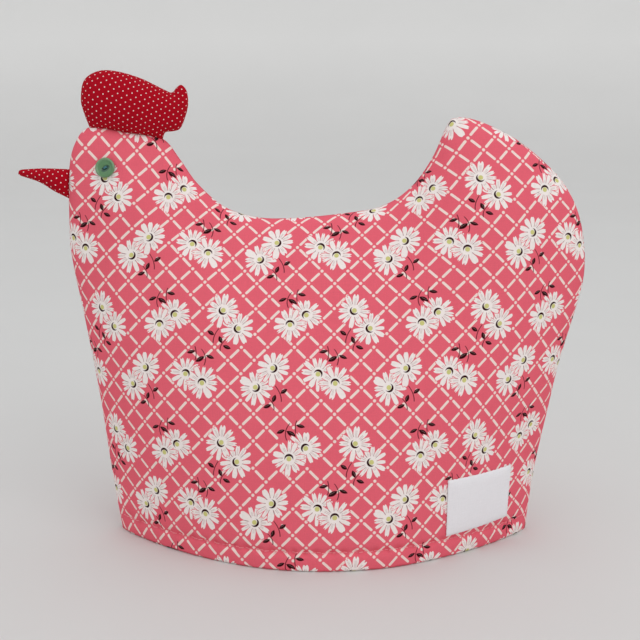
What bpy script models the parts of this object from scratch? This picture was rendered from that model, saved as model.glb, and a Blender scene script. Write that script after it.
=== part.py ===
"""A hen-shaped tea cosy: two padded cotton panels sewn along one seam and standing on their hem.

Each panel is a wall of padded cloth. Its outer face is worked out as a stretched film that is held flat
along the seam and spread to half an oval at the hem, with the plump roll of the padding added next to the
seam. The comb and the beak are stuffed shapes caught in the seam. Sizes are in millimetres up here and
become metres in the meshes. X runs from the beak to the tail, Y from front to back, and Z is up.
"""
import math

import bpy
import bmesh
import numpy as np
from mathutils import Matrix, Vector
from mathutils.geometry import delaunay_2d_cdt

MM = 0.001
GAP = 0.3                   # air between two pieces that touch

# The hem stands as a pointed oval on the table
HEM_LEFT = -109.0
HEM_RIGHT = 132.5
HEM_HALF_DEPTH = 70.0

# The padded cloth
CLOTH_THICK = 5.0
SEAM_ALLOWANCE = 9.0        # width over which the two panels lie flat together inside the seam
ROLL_HEIGHT = 5.5           # how far the padding swells out beside the seam
ROLL_WIDTH = 8.0
HEM_STITCH_UP = 12.0        # height of the topstitching over the bottom edge
HEM_DIP = 0.9               # how far that stitching pulls the cloth in
HEM_DIP_WIDTH = 3.5
FULLNESS = 0.0265           # how strongly the film bulges, per millimetre
UPRIGHT_STIFFNESS = 6.0     # the cloth bends less along its height than across it

# Seam line of both panels, from the hem at the breast over head, neck, saddle and tail to the other hem
SEAM = [
    # x, z
    (HEM_LEFT, 0.0), (-113.5, 31.0), (-119.5, 81.0), (-127.0, 129.0), (-133.0, 165.0),
    (-133.5, 190.0), (-132.5, 214.0), (-128.5, 229.0), (-119.5, 238.0), (-98.5, 235.5),
    (-79.5, 231.5), (-69.5, 219.5), (-60.0, 206.0), (-45.0, 192.8), (-27.5, 187.0), (-9.0, 186.2),
    (18.5, 188.5), (44.0, 193.0), (60.5, 203.5), (72.5, 220.0), (80.5, 238.0), (85.5, 243.0),
    (98.5, 241.2), (119.0, 231.5), (137.5, 217.0), (149.5, 203.5), (157.5, 186.5), (161.3, 165.0),
    (160.5, 147.0), (155.5, 127.0), (148.7, 101.0), (143.0, 72.0), (137.5, 43.0), (134.0, 17.0),
    (HEM_RIGHT, 0.0),
]

# Where the eye buttons are sewn on
EYE_X = -110.5
EYE_Z = 216.0

# Soft hollows and swells of the hanging cloth: the creases run along their long side
CREASES = [
    # x, z, half length, half width, lean in degrees from level, depth (a swell is negative)
    (-52.0, 176.0, 34.0, 7.0, -48.0, 1.6),
    (-78.0, 196.0, 26.0, 8.0, -62.0, 1.2),
    (-88.0, 150.0, 40.0, 12.0, -70.0, 1.4),
    (66.0, 178.0, 34.0, 8.0, 52.0, 1.6),
    (92.0, 150.0, 46.0, 13.0, 66.0, 1.5),
    (-20.0, 60.0, 60.0, 20.0, 80.0, -1.2),
    (60.0, 70.0, 55.0, 18.0, 96.0, 1.3),
    (112.0, 190.0, 30.0, 20.0, 40.0, -1.5),
    (-100.0, 205.0, 32.0, 22.0, 80.0, -2.4),
    (EYE_X, EYE_Z, 7.0, 7.0, 0.0, 1.0),
]

# Comb: outline over the head seam, its middle is the thickest
COMB_FRONT = (-119.5, 238.3)
COMB_BACK = (-79.0, 231.7)
COMB_TOP = [
    # x, z
    (-122.5, 247.0), (-124.0, 254.5), (-122.2, 263.5), (-115.0, 268.6), (-105.0, 268.9), (-91.0, 265.0),
    (-78.5, 259.0), (-73.5, 257.0), (-70.7, 259.8), (-67.9, 261.2), (-65.0, 257.5), (-64.5, 250.0),
    (-66.6, 242.3), (-69.4, 236.8), (-73.5, 235.4), (-77.6, 234.8),
]
COMB_HALF_THICK = 10.5
COMB_ROOT_SHARE = 0.4       # thickness left where it enters the seam, as a share of the middle

# Beak: a stuffed triangle whose root lies along the seam at the face
BEAK_ROOT_TOP = (-133.0, 214.6)
BEAK_ROOT_LOW = (-133.9, 197.0)
BEAK_EDGE = [
    # x, z
    (-146.5, 214.6), (-156.0, 214.2), (-160.2, 213.7), (-161.4, 212.2), (-160.2, 210.5), (-149.5, 206.8),
    (-141.5, 201.8),
]
BEAK_HALF_THICK = 6.0
BEAK_ROOT_SHARE = 0.6

# Eye buttons
BUTTON_RADIUS = 5.65
BUTTON_THICK = 2.4
BUTTON_RIM = 1.1
BUTTON_HOLE_APART = 2.1
BUTTON_HOLE_RADIUS = 0.65
BUTTON_SLOT_LONG = 2.9
BUTTON_SLOT_WIDE = 1.5
BUTTON_TILT = 32.0          # turn of the long hollow, in degrees from level

# Label: its corners on the front panel, as x and z
LABEL_LOW_LEFT = (80.0, 13.6)
LABEL_LOW_RIGHT = (117.5, 15.6)
LABEL_TOP_RIGHT = (118.5, 47.3)
LABEL_TOP_LEFT = (80.5, 46.5)
LABEL_THICK = 1.0
LABEL_OVER_CLOTH = 0.4

# Fineness of the meshes
EDGE_STEP = 9.0
ROOT_STEP = 3.0             # along the roots of comb and beak
COMB_STEP = 3.6
BEAK_STEP = 2.2
GRID_STEP = 13.0
RING_DEPTHS = (1.0, 3.4, 7.6, 13.5)
INNER_RING_DEPTHS = (1.2, 5.0, 11.0)
HEM_ROWS = (6.0, 12.0, 18.0)  # rows of points over the bottom edge, one of them in the stitching's trough
SPAN_PARTS = 12             # pieces of a smooth curve between two of its points
CREASE_FADE = 25.0          # creases die out this close to the seam
INNER_EDGE_UP = 5.0         # the inner line's first point over the hem


def clear_scene():
    """Start from an empty file."""
    for obj in list(bpy.data.objects):
        bpy.data.objects.remove(obj, do_unlink=True)


def smooth_line(points, step):
    """A smooth curve through the points, read at about one step apart."""
    pts = [np.array(p, float) for p in points]
    fine = []
    for i in range(len(pts) - 1):
        p1 = pts[i]
        p2 = pts[i + 1]
        p0 = pts[i - 1] if i > 0 else 2 * p1 - p2
        p3 = pts[i + 2] if i + 2 < len(pts) else 2 * p2 - p1
        for k in range(SPAN_PARTS):
            t = k / SPAN_PARTS
            fine.append(0.5 * (2 * p1 + (p2 - p0) * t + (2 * p0 - 5 * p1 + 4 * p2 - p3) * t ** 2
                               + (3 * p1 - p0 - 3 * p2 + p3) * t ** 3))
    fine.append(pts[-1])
    fine = np.array(fine)
    length = np.concatenate([[0.0], np.cumsum(np.linalg.norm(np.diff(fine, axis=0), axis=1))])
    pieces = max(3, round(length[-1] / step))
    at = np.linspace(0.0, length[-1], pieces + 1)
    return np.column_stack([np.interp(at, length, fine[:, 0]), np.interp(at, length, fine[:, 1])])


def distance_to(line, points):
    """Shortest distance from each point to an open line."""
    points = np.atleast_2d(points)
    start = line[:-1][None, :, :]
    run = (line[1:] - line[:-1])[None, :, :]
    offset = points[:, None, :] - start
    share = np.clip((offset * run).sum(2) / (run ** 2).sum(2), 0.0, 1.0)
    return np.sqrt(((offset - share[:, :, None] * run) ** 2).sum(2)).min(1)


def inside(loop, points):
    """True for each point inside a closed loop."""
    points = np.atleast_2d(points)
    x, z = points[:, 0:1], points[:, 1:2]
    x1, z1 = loop[:, 0][None, :], loop[:, 1][None, :]
    x2, z2 = np.roll(loop[:, 0], -1)[None, :], np.roll(loop[:, 1], -1)[None, :]
    crosses = (z1 > z) != (z2 > z)
    with np.errstate(divide="ignore", invalid="ignore"):
        hit = x < x1 + (z - z1) * (x2 - x1) / (z2 - z1)
    return (crosses & hit).sum(1) % 2 == 1


def inset_line(line, depth):
    """The line moved inwards, to the right of its direction, thinned where it crowds."""
    run = np.gradient(line, axis=0)
    run /= np.linalg.norm(run, axis=1)[:, None]
    normal = np.column_stack([run[:, 1], -run[:, 0]])
    moved = line + normal * depth
    keep = distance_to(line, moved) > 0.985 * depth
    return moved[keep]


def thin_out(points, spacing, taken):
    """Drop points that come closer than the spacing to one that is already taken."""
    kept = [np.array(p) for p in taken]
    out = []
    for p in points:
        near = np.array(kept)
        if len(kept) and np.min(np.sum((near - p) ** 2, axis=1)) < spacing ** 2:
            continue
        kept.append(p)
        out.append(p)
    return out


def triangulate(loop, points):
    """Triangles over a closed loop of points with more points inside it."""
    every = [Vector(p) for p in list(loop) + list(points)]
    count = len(loop)
    edges = [(i, (i + 1) % count) for i in range(count)]
    verts, _, faces, origin, _, _ = delaunay_2d_cdt(every, edges, [], 1, 1e-6)
    rename = [group[0] for group in origin]
    place = np.array([(v.x, v.y) for v in verts])
    triangles = []
    for face in faces:
        for k in range(1, len(face) - 1):
            a, b, c = face[0], face[k], face[k + 1]
            turn = np.cross(place[b] - place[a], place[c] - place[a])
            triangles.append((a, b, c) if turn > 0 else (a, c, b))
    triangles = [tuple(rename[i] for i in t) for t in triangles]
    flat = np.array([(v.x, v.y) for v in every])
    return flat, triangles


def film(flat, triangles, held, fullness, stiffness):
    """Heights of a film over the plane: held at some points, bulging by its fullness."""
    scale = np.array([1.0, 1.0 / math.sqrt(stiffness)])
    place = flat * scale
    count = len(flat)
    matrix = np.zeros((count, count))
    load = np.zeros(count)
    for tri in triangles:
        a, b, c = (place[i] for i in tri)
        area = abs(np.cross(b - a, c - a)) / 2.0
        for k in range(3):
            i, j, o = tri[k], tri[(k + 1) % 3], tri[(k + 2) % 3]
            u, v = place[i] - place[o], place[j] - place[o]
            weight = 0.5 * float(np.dot(u, v)) / max(abs(float(np.cross(u, v))), 1e-9)
            matrix[i, j] -= weight
            matrix[j, i] -= weight
            matrix[i, i] += weight
            matrix[j, j] += weight
            load[i] += fullness * area / 3.0
    height = np.zeros(count)
    fixed = sorted(held)
    for i in fixed:
        height[i] = held[i]
    free = [i for i in range(count) if i not in held]
    right = load[free] - matrix[np.ix_(free, fixed)] @ height[fixed]
    height[free] = np.linalg.solve(matrix[np.ix_(free, free)], right)
    return height


def swell(depth, width):
    """Quarter-round rise from 0 at the seam to 1 at the given width."""
    part = np.clip(np.asarray(depth, float) / width, 0.0, 1.0)
    return np.sqrt(1.0 - (1.0 - part) ** 2)


def hem_bow(x, left, right):
    """Half depth of the hem at x without the padding's roll: a bow from end to end."""
    share = np.clip((2.0 * np.asarray(x) - left - right) / (right - left), -1.0, 1.0)
    return (HEM_HALF_DEPTH - ROLL_HEIGHT) * (1.0 - share ** 2)


def crease_depth(flat):
    """How far the hollows pull the outer face in at each place."""
    total = np.zeros(len(flat))
    for x, z, long, wide, lean, depth in CREASES:
        turn = math.radians(lean)
        dx, dz = flat[:, 0] - x, flat[:, 1] - z
        along = dx * math.cos(turn) + dz * math.sin(turn)
        across = -dx * math.sin(turn) + dz * math.cos(turn)
        total += depth * np.exp(-(along / long) ** 2 - (across / wide) ** 2)
    total += HEM_DIP * np.exp(-((flat[:, 1] - HEM_STITCH_UP) / HEM_DIP_WIDTH) ** 2)
    return total


def mesh_points(edge, ring_depths, first_free):
    """Points over a panel's face: rings beside the seam, rows at the hem and a grid between them."""
    pool = []
    for depth in ring_depths:
        ring = inset_line(edge, depth)
        ring = ring[ring[:, 1] > 0.5 * HEM_ROWS[0]]
        pool += thin_out(ring, 0.55 * EDGE_STEP, pool)
    left, right = edge[0][0], edge[-1][0]
    rows = []
    for z in HEM_ROWS:
        rows += [(x, z) for x in np.arange(left + GRID_STEP, right, GRID_STEP)]
    z = HEM_ROWS[-1] + GRID_STEP
    odd = False
    while z < edge[:, 1].max():
        shift = GRID_STEP / 2.0 if odd else 0.0
        rows += [(x, z) for x in np.arange(edge[:, 0].min() + shift, edge[:, 0].max(), GRID_STEP)]
        z += 0.9 * GRID_STEP
        odd = not odd
    rows = np.array(rows)
    rows = rows[inside(edge, rows)]
    rows = rows[distance_to(edge, rows) > first_free]
    near_hem = [p for p in rows if p[1] <= HEM_ROWS[-1]]
    high = [p for p in rows if p[1] > HEM_ROWS[-1]]
    pool += thin_out(near_hem, 4.0, pool)
    pool += thin_out(high, 0.6 * GRID_STEP, pool)
    return pool


def hem_points(left, right):
    """Points of the hem between its two ends, closer together where the oval turns."""
    middle, half = (left + right) / 2.0, (right - left) / 2.0
    return [(middle + half * math.cos(turn), 0.0) for turn in np.linspace(0.0, math.pi, 31)[1:-1]]


def panel_face(edge, ring_depths):
    """Flat points, triangles and film heights of one face of a panel."""
    left, right = edge[0][0], edge[-1][0]
    hem = hem_points(left, right)
    loop = np.array(list(edge) + hem)
    flat, triangles = triangulate(loop, mesh_points(edge, ring_depths, ring_depths[-1] + 5.0))
    held = {}
    for i in range(len(edge)):
        held[i] = 0.0
    for i in range(len(edge), len(loop)):
        held[i] = float(hem_bow(flat[i][0], left, right))
    height = film(flat, triangles, held, FULLNESS, UPRIGHT_STIFFNESS)
    return flat, triangles, height, len(edge), len(loop)


def outer_height(flat, height, edge):
    """Film heights with the padding's roll and the creases."""
    depth = distance_to(edge, flat)
    away = np.clip(depth / CREASE_FADE, 0.0, 1.0)
    return height + ROLL_HEIGHT * swell(depth, ROLL_WIDTH) - crease_depth(flat) * away


def build_mesh(name, verts, faces, material):
    """A closed object in metres from millimetre points."""
    mesh = bpy.data.meshes.new(name)
    mesh.from_pydata([tuple(c * MM for c in v) for v in verts], [], faces)
    bm = bmesh.new()
    bm.from_mesh(mesh)
    bmesh.ops.recalc_face_normals(bm, faces=bm.faces)
    bm.to_mesh(mesh)
    bm.free()
    mesh.materials.append(material)
    mesh.shade_smooth()
    mesh.set_sharp_from_angle(angle=math.radians(50.0))
    obj = bpy.data.objects.new(name, mesh)
    bpy.context.scene.collection.objects.link(obj)
    return obj


def height_at(flat, triangles, values, points):
    """Values of a faceted sheet, and its slope, read at other places."""
    points = np.atleast_2d(points)
    tri = np.array(triangles)
    a, b, c = flat[tri[:, 0]], flat[tri[:, 1]], flat[tri[:, 2]]
    whole = (b[:, 0] - a[:, 0]) * (c[:, 1] - a[:, 1]) - (b[:, 1] - a[:, 1]) * (c[:, 0] - a[:, 0])
    out = np.zeros(len(points))
    for n, p in enumerate(points):
        u = ((b[:, 0] - p[0]) * (c[:, 1] - p[1]) - (b[:, 1] - p[1]) * (c[:, 0] - p[0])) / whole
        v = ((c[:, 0] - p[0]) * (a[:, 1] - p[1]) - (c[:, 1] - p[1]) * (a[:, 0] - p[0])) / whole
        w = 1.0 - u - v
        best = int(np.argmax(np.minimum(np.minimum(u, v), w)))
        i, j, k = tri[best]
        out[n] = u[best] * values[i] + v[best] * values[j] + w[best] * values[k]
    return out


class Surface:
    """The outer face of a panel, to seat the buttons and the label on."""

    def __init__(self, flat, triangles, values):
        self.flat = flat
        self.triangles = triangles
        self.values = values

    def height(self, x, z):
        return float(height_at(self.flat, self.triangles, self.values, [(x, z)])[0])

    def point(self, x, z, side, reach=5.0):
        """Place and outward direction at x, z; side is -1 at the front and +1 behind."""
        height = self.height(x, z)
        slope_x = (self.height(x + reach, z) - self.height(x - reach, z)) / (2.0 * reach)
        slope_z = (self.height(x, z + reach) - self.height(x, max(z - reach, 0.0))) / (reach + min(reach, z))
        outward = Vector((-slope_x, side, -slope_z)).normalized()
        return Vector((x, side * (height + GAP / 2.0), z)), outward


def make_panel(name, side, edge, material):
    """One padded panel: outer face, inner face, the strip at the seam and the strip at the hem."""
    flat_o, tri_o, film_o, edge_o, loop_o = panel_face(edge, RING_DEPTHS)
    high_o = outer_height(flat_o, film_o, edge)
    inner = inset_line(edge, SEAM_ALLOWANCE)
    inner = smooth_line(inner, 1.1 * EDGE_STEP)
    ends = [(HEM_LEFT + SEAM_ALLOWANCE, 0.0), (HEM_RIGHT - SEAM_ALLOWANCE, 0.0)]
    inner = np.array([ends[0]] + [p for p in inner if p[1] > INNER_EDGE_UP] + [ends[1]])
    hem_i = hem_points(inner[0][0], inner[-1][0])
    loop_i = np.array(list(inner) + hem_i)
    flat_i, tri_i = triangulate(loop_i, mesh_points(inner, INNER_RING_DEPTHS, INNER_RING_DEPTHS[-1] + 6.0))
    reach = 3.0
    here = height_at(flat_o, tri_o, high_o, flat_i)
    over = height_at(flat_o, tri_o, high_o, flat_i + (reach, 0.0))
    up = height_at(flat_o, tri_o, high_o, flat_i + (0.0, reach))
    steep = np.sqrt(1.0 + np.clip(((over - here) ** 2 + (up - here) ** 2) / reach ** 2, 0.0, 3.0))
    rise = swell(distance_to(inner, flat_i), 0.8 * SEAM_ALLOWANCE)
    high_i = (here - CLOTH_THICK * steep) * rise
    verts = [(x, side * (h + GAP / 2.0), z) for (x, z), h in zip(flat_o, high_o)]
    verts += [(x, side * (h + GAP / 2.0), z) for (x, z), h in zip(flat_i, high_i)]
    start = len(flat_o)
    faces = [tuple(t) for t in tri_o]
    faces += [tuple(i + start for i in t) for t in tri_i]
    seam_ring = list(range(edge_o)) + [start + i for i in reversed(range(len(inner)))]
    outline = np.array([(verts[i][0], verts[i][2]) for i in seam_ring])
    faces += [tuple(seam_ring[i] for i in t) for t in triangulate(outline, [])[1]]
    hem_ring = [edge_o - 1] + list(range(edge_o, loop_o)) + [0]
    hem_ring += [start] + [start + i for i in reversed(range(len(inner), len(loop_i)))]
    hem_ring += [start + len(inner) - 1]
    outline = np.array([(verts[i][0], verts[i][1]) for i in hem_ring])
    faces += [tuple(hem_ring[i] for i in t) for t in triangulate(outline, [])[1]]
    build_mesh(name, verts, faces, material)
    return Surface(flat_o, tri_o, high_o)


def closed_rings(loop, depths, spacing):
    """Points beside a closed outline, at each of the depths inside it."""
    run = np.roll(loop, -1, axis=0) - np.roll(loop, 1, axis=0)
    run /= np.linalg.norm(run, axis=1)[:, None]
    normal = np.column_stack([run[:, 1], -run[:, 0]])
    ring_line = np.vstack([loop, loop[:1]])
    if not inside(loop, loop[0] + 0.2 * normal[0])[0]:
        normal = -normal
    pool = []
    for depth in depths:
        ring = loop + normal * depth
        ring = ring[inside(loop, ring)]
        ring = [p for p in ring if distance_to(ring_line, p)[0] > 0.97 * depth]
        pool += thin_out(ring, spacing, pool)
    return pool


def make_stuffed(name, root, outline, half_thick, root_share, step, material):
    """A stuffed shape, thickest in its middle, whose root stays open to a flat strip on the seam."""
    loop = np.array(list(root) + list(outline))
    depths = (0.15 * step, 0.5 * step, 1.1 * step)
    spacing = 1.3 * step
    pool = closed_rings(loop, depths, 0.6 * step)
    low, high = loop.min(0), loop.max(0)
    grid = [(x, z) for x in np.arange(low[0], high[0], spacing) for z in np.arange(low[1], high[1], spacing)]
    grid = np.array(grid)
    ring_line = np.vstack([loop, loop[:1]])
    grid = grid[inside(loop, grid)]
    grid = grid[distance_to(ring_line, grid) > depths[-1] + 0.6 * spacing]
    flat, triangles = triangulate(loop, pool + list(grid))
    count = len(loop)
    bulge = film(flat, triangles, {i: 0.0 for i in range(count)}, 1.0, 1.0)
    open_root = {i: (1.0 if 0 < i < len(root) - 1 else 0.0) for i in range(count)}
    spread = film(flat, triangles, open_root, 0.0, 1.0)
    height = half_thick * np.sqrt(bulge / bulge.max() + root_share ** 2 * spread)
    verts = [(x, -h, z) for (x, z), h in zip(flat, height)]
    back = {}
    for i, (x, z) in enumerate(flat):
        if height[i] > 1e-6:
            back[i] = len(verts)
            verts.append((x, height[i], z))
        else:
            back[i] = i
    faces = [tuple(t) for t in triangles]
    faces += [tuple(back[i] for i in reversed(t)) for t in triangles]
    for i in range(len(root) - 1):
        ring = [i, i + 1, back[i + 1], back[i]]
        ring = list(dict.fromkeys(ring))
        faces.append(tuple(ring))
    return build_mesh(name, verts, faces, material)


def seam_stretch(edge, start, end, lift):
    """The seam's own line between two of its places, lifted off it by the gap."""
    run = np.gradient(edge, axis=0)
    run /= np.linalg.norm(run, axis=1)[:, None]
    lifted = edge + np.column_stack([-run[:, 1], run[:, 0]]) * lift
    first = int(np.argmin(np.linalg.norm(edge - start, axis=1)))
    last = int(np.argmin(np.linalg.norm(edge - end, axis=1)))
    return lifted[first:last + 1]


def make_button(name, surface, side, material):
    """A two-hole button with a rim and a long hollow round its holes."""
    profile = [
        # radius, height over the back
        (0.0, 0.0), (BUTTON_RADIUS - 1.3, 0.0), (BUTTON_RADIUS - 0.2, 0.9), (BUTTON_RADIUS, 1.5),
        (BUTTON_RADIUS - 0.35, BUTTON_THICK - 0.12), (BUTTON_RADIUS - 0.75, BUTTON_THICK),
        (BUTTON_RADIUS - BUTTON_RIM, BUTTON_THICK - 0.2), (BUTTON_RADIUS - BUTTON_RIM - 0.5, 1.75),
        (0.0, 1.65),
    ]
    bm = bmesh.new()
    line = [bm.verts.new((r * MM, 0.0, h * MM)) for r, h in profile]
    edges = [bm.edges.new(pair) for pair in zip(line[:-1], line[1:])]
    bmesh.ops.spin(bm, geom=line + edges, cent=(0, 0, 0), axis=(0, 0, 1), angle=2 * math.pi, steps=24,
                   use_merge=True)
    bmesh.ops.remove_doubles(bm, verts=bm.verts, dist=1e-6)
    bmesh.ops.recalc_face_normals(bm, faces=bm.faces)
    mesh = bpy.data.meshes.new(name)
    bm.to_mesh(mesh)
    bm.free()
    mesh.materials.append(material)
    button = bpy.data.objects.new(name, mesh)
    bpy.context.scene.collection.objects.link(button)
    hollow = add_cutter(name + "_hollow", BUTTON_SLOT_LONG, BUTTON_SLOT_WIDE, BUTTON_THICK, 1.1)
    cut(button, hollow)
    for way in (-1, 1):
        hole = add_hole(name + "_hole", way * BUTTON_HOLE_APART / 2.0)
        cut(button, hole)
    place, outward = surface.point(EYE_X, EYE_Z, side)
    turn = outward.to_track_quat("Z", "Y")
    button.rotation_mode = "QUATERNION"
    button.rotation_quaternion = turn
    button.location = (place + outward * (GAP + 0.1)) * MM
    button.data.shade_smooth()
    button.data.set_sharp_from_angle(angle=math.radians(40.0))
    return button


def add_cutter(name, half_long, half_wide, up, depth):
    """A flattened ball that presses the long hollow into a button."""
    bpy.ops.mesh.primitive_uv_sphere_add(segments=16, ring_count=8, radius=1.0)
    tool = bpy.context.active_object
    tool.name = name
    tool.data.transform(Matrix.Diagonal((half_long * MM, half_wide * MM, depth * MM, 1.0)))
    tool.data.transform(Matrix.Rotation(math.radians(BUTTON_TILT), 4, "Z"))
    tool.location = (0.0, 0.0, up * MM)
    return tool


def add_hole(name, along):
    """A thread hole of a button."""
    bpy.ops.mesh.primitive_cylinder_add(vertices=8, radius=BUTTON_HOLE_RADIUS * MM, depth=8.0 * MM)
    tool = bpy.context.active_object
    tool.name = name
    turn = math.radians(BUTTON_TILT)
    tool.location = (along * math.cos(turn) * MM, along * math.sin(turn) * MM, 0.0)
    return tool


def cut(obj, tool):
    """Take the tool's shape out of the object and drop the tool."""
    modifier = obj.modifiers.new("cut", "BOOLEAN")
    modifier.operation = "DIFFERENCE"
    modifier.solver = "EXACT"
    modifier.object = tool
    bpy.context.view_layer.objects.active = obj
    bpy.ops.object.modifier_apply(modifier=modifier.name)
    bpy.data.objects.remove(tool, do_unlink=True)


def make_label(surface, material):
    """The tape tab, lying on the front panel's own curve."""
    across, up = 11, 9
    verts = []
    for layer in (LABEL_OVER_CLOTH, LABEL_OVER_CLOTH + LABEL_THICK):
        for j in range(up + 1):
            for i in range(across + 1):
                s, t = i / across, j / up
                low = np.array(LABEL_LOW_LEFT) * (1 - s) + np.array(LABEL_LOW_RIGHT) * s
                top = np.array(LABEL_TOP_LEFT) * (1 - s) + np.array(LABEL_TOP_RIGHT) * s
                x, z = low * (1 - t) + top * t
                place, outward = surface.point(x, z, -1, 7.0)
                verts.append(tuple(place + outward * layer))
    row = across + 1
    sheet = row * (up + 1)
    faces = []
    for j in range(up):
        for i in range(across):
            a = j * row + i
            faces.append((a, a + 1, a + row + 1, a + row))
            faces.append((a + sheet, a + row + sheet, a + row + 1 + sheet, a + 1 + sheet))
    rim = [i for i in range(row)] + [j * row + across for j in range(1, up + 1)]
    rim += [up * row + i for i in range(across - 1, -1, -1)] + [j * row for j in range(up - 1, 0, -1)]
    for k, a in enumerate(rim):
        b = rim[(k + 1) % len(rim)]
        faces.append((a, b, b + sheet, a + sheet))
    return build_mesh("label", verts, faces, material)


def make_material(name, colour, roughness):
    """A plain material with the piece's colour and roughness."""
    material = bpy.data.materials.new(name)
    material.use_nodes = True
    shader = material.node_tree.nodes["Principled BSDF"]
    shader.inputs["Base Color"].default_value = (*colour, 1.0)
    shader.inputs["Roughness"].default_value = roughness
    shader.inputs["Metallic"].default_value = 0.0
    material.diffuse_color = (*colour, 1.0)
    return material


def main():
    clear_scene()
    print_cotton = make_material("printed_cotton", (0.79, 0.13, 0.18), 0.85)
    red_cotton = make_material("red_spotted_cotton", (0.38, 0.01, 0.02), 0.85)
    green = make_material("green_button", (0.10, 0.19, 0.08), 0.35)
    white = make_material("label_tape", (0.70, 0.69, 0.70), 0.9)
    edge = smooth_line(SEAM, EDGE_STEP)
    edge[0] = SEAM[0]
    edge[-1] = SEAM[-1]
    front = make_panel("front_panel", -1, edge, print_cotton)
    make_panel("back_panel", 1, edge, print_cotton)
    fine_edge = smooth_line(SEAM, ROOT_STEP)
    comb_root = seam_stretch(fine_edge, COMB_FRONT, COMB_BACK, GAP)
    comb_line = smooth_line([comb_root[0]] + COMB_TOP + [comb_root[-1]], COMB_STEP)[1:-1]
    make_stuffed("comb", comb_root, comb_line[::-1], COMB_HALF_THICK, COMB_ROOT_SHARE, COMB_STEP, red_cotton)
    beak_root = seam_stretch(fine_edge, BEAK_ROOT_LOW, BEAK_ROOT_TOP, GAP)
    beak_line = smooth_line([beak_root[-1]] + BEAK_EDGE + [beak_root[0]], BEAK_STEP)[1:-1]
    make_stuffed("beak", beak_root, beak_line, BEAK_HALF_THICK, BEAK_ROOT_SHARE, BEAK_STEP, red_cotton)
    make_button("eye_button_front", front, -1, green)
    make_button("eye_button_back", front, 1, green)
    make_label(front, white)


main()
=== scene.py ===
"""Looks of the hen-shaped tea cosy: printed panels, spotted comb and beak, buttons, tape tab and sewing.

The shapes follow the same seam line and the same stretched film as the solids, on a finer mesh. Sizes in
the tables are in millimetres, X from the beak to the tail, Y from front to back and Z up.
"""
import math
from functools import cache, partialmethod, reduce

import bpy
import bmesh
import numpy as np
from bpy.props import FloatProperty, FloatVectorProperty, PointerProperty
from mathutils import Matrix, Vector
from mathutils.bvhtree import BVHTree
from mathutils.geometry import delaunay_2d_cdt


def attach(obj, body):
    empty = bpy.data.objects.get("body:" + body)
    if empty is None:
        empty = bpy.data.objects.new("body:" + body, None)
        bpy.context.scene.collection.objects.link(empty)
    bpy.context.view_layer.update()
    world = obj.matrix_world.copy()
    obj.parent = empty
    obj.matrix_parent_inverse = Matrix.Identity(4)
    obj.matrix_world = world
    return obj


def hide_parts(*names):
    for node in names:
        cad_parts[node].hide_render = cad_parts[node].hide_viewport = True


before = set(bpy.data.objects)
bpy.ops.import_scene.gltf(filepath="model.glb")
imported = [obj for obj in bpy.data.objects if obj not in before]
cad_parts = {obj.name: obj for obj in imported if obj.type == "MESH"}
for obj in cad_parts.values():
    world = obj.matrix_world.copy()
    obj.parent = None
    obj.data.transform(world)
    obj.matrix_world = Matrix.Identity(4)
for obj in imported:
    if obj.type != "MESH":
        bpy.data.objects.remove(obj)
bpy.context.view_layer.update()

bl_info = {
    "name": "Hen Tea Cosy",
    "version": (1, 0, 0),
    "blender": (4, 5, 0),
    "location": "View3D > Sidebar > Tea Cosy",
    "description": "Sews the printed panels, comb, beak, buttons and tab of a tea cosy and sets its stage",
    "category": "Object",
}

BODY = "root"
MM = 0.001
TAU = 2.0 * math.pi
FRONT, BACK = -1, 1

# The hem stands on the table as a pointed oval
HEM_LEFT = -109.0
HEM_RIGHT = 132.5
HEM_MIDDLE, HEM_HALF = (HEM_LEFT + HEM_RIGHT) / 2.0, (HEM_RIGHT - HEM_LEFT) / 2.0
HEM_HALF_DEPTH = 70.0
FULLNESS = 0.0265           # how strongly the film between seam and hem bulges
UPRIGHT_STIFFNESS = 6.0     # the cloth bends less along its height than across it
CREASE_FADE = 25.0          # creases die out this close to the seam
FOLD_FADE = 6.0             # so do the hem's fold and the trough of its stitching
HEM_WAVE = 6.4              # from one gather to the next along the hem's stitching
SEAM_WAVE = 7.3             # and along the seam
STUFFED_WAVE = 4.3          # and round the comb and the beak
SEAM_GAP = 0.15             # from each panel to the middle of the seam

# Seam line of both panels from hem to hem
SEAM = [
    # x, z
    (HEM_LEFT, 0.0), (-113.5, 31.0), (-119.5, 81.0), (-127.0, 129.0), (-133.0, 165.0),
    (-133.5, 190.0), (-132.5, 214.0), (-128.5, 229.0), (-119.5, 238.0), (-98.5, 235.5),
    (-79.5, 231.5), (-69.5, 219.5), (-60.0, 206.0), (-45.0, 192.8), (-27.5, 187.0), (-9.0, 186.2),
    (18.5, 188.5), (44.0, 193.0), (60.5, 203.5), (72.5, 220.0), (80.5, 238.0), (85.5, 243.0),
    (98.5, 241.2), (119.0, 231.5), (137.5, 217.0), (149.5, 203.5), (157.5, 186.5), (161.3, 165.0),
    (160.5, 147.0), (155.5, 127.0), (148.7, 101.0), (143.0, 72.0), (137.5, 43.0), (134.0, 17.0),
    (HEM_RIGHT, 0.0),
]
# Where a panel's mesh is finer than its grain: inside the seam, above the hem and beside the stitching
SEAM_RINGS = (0.35, 1.1, 2.3, 4.0, 6.2, 8.8, 11.6, 14.4)
HEM_ROWS = (0.25, 0.7, 1.3, 2.0)
STITCH_ROWS = (-3.2, -2.0, -1.0, 0.0, 1.0, 2.0, 3.2)

EYE_X = -109.8
EYE_Z = 216.0
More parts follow.
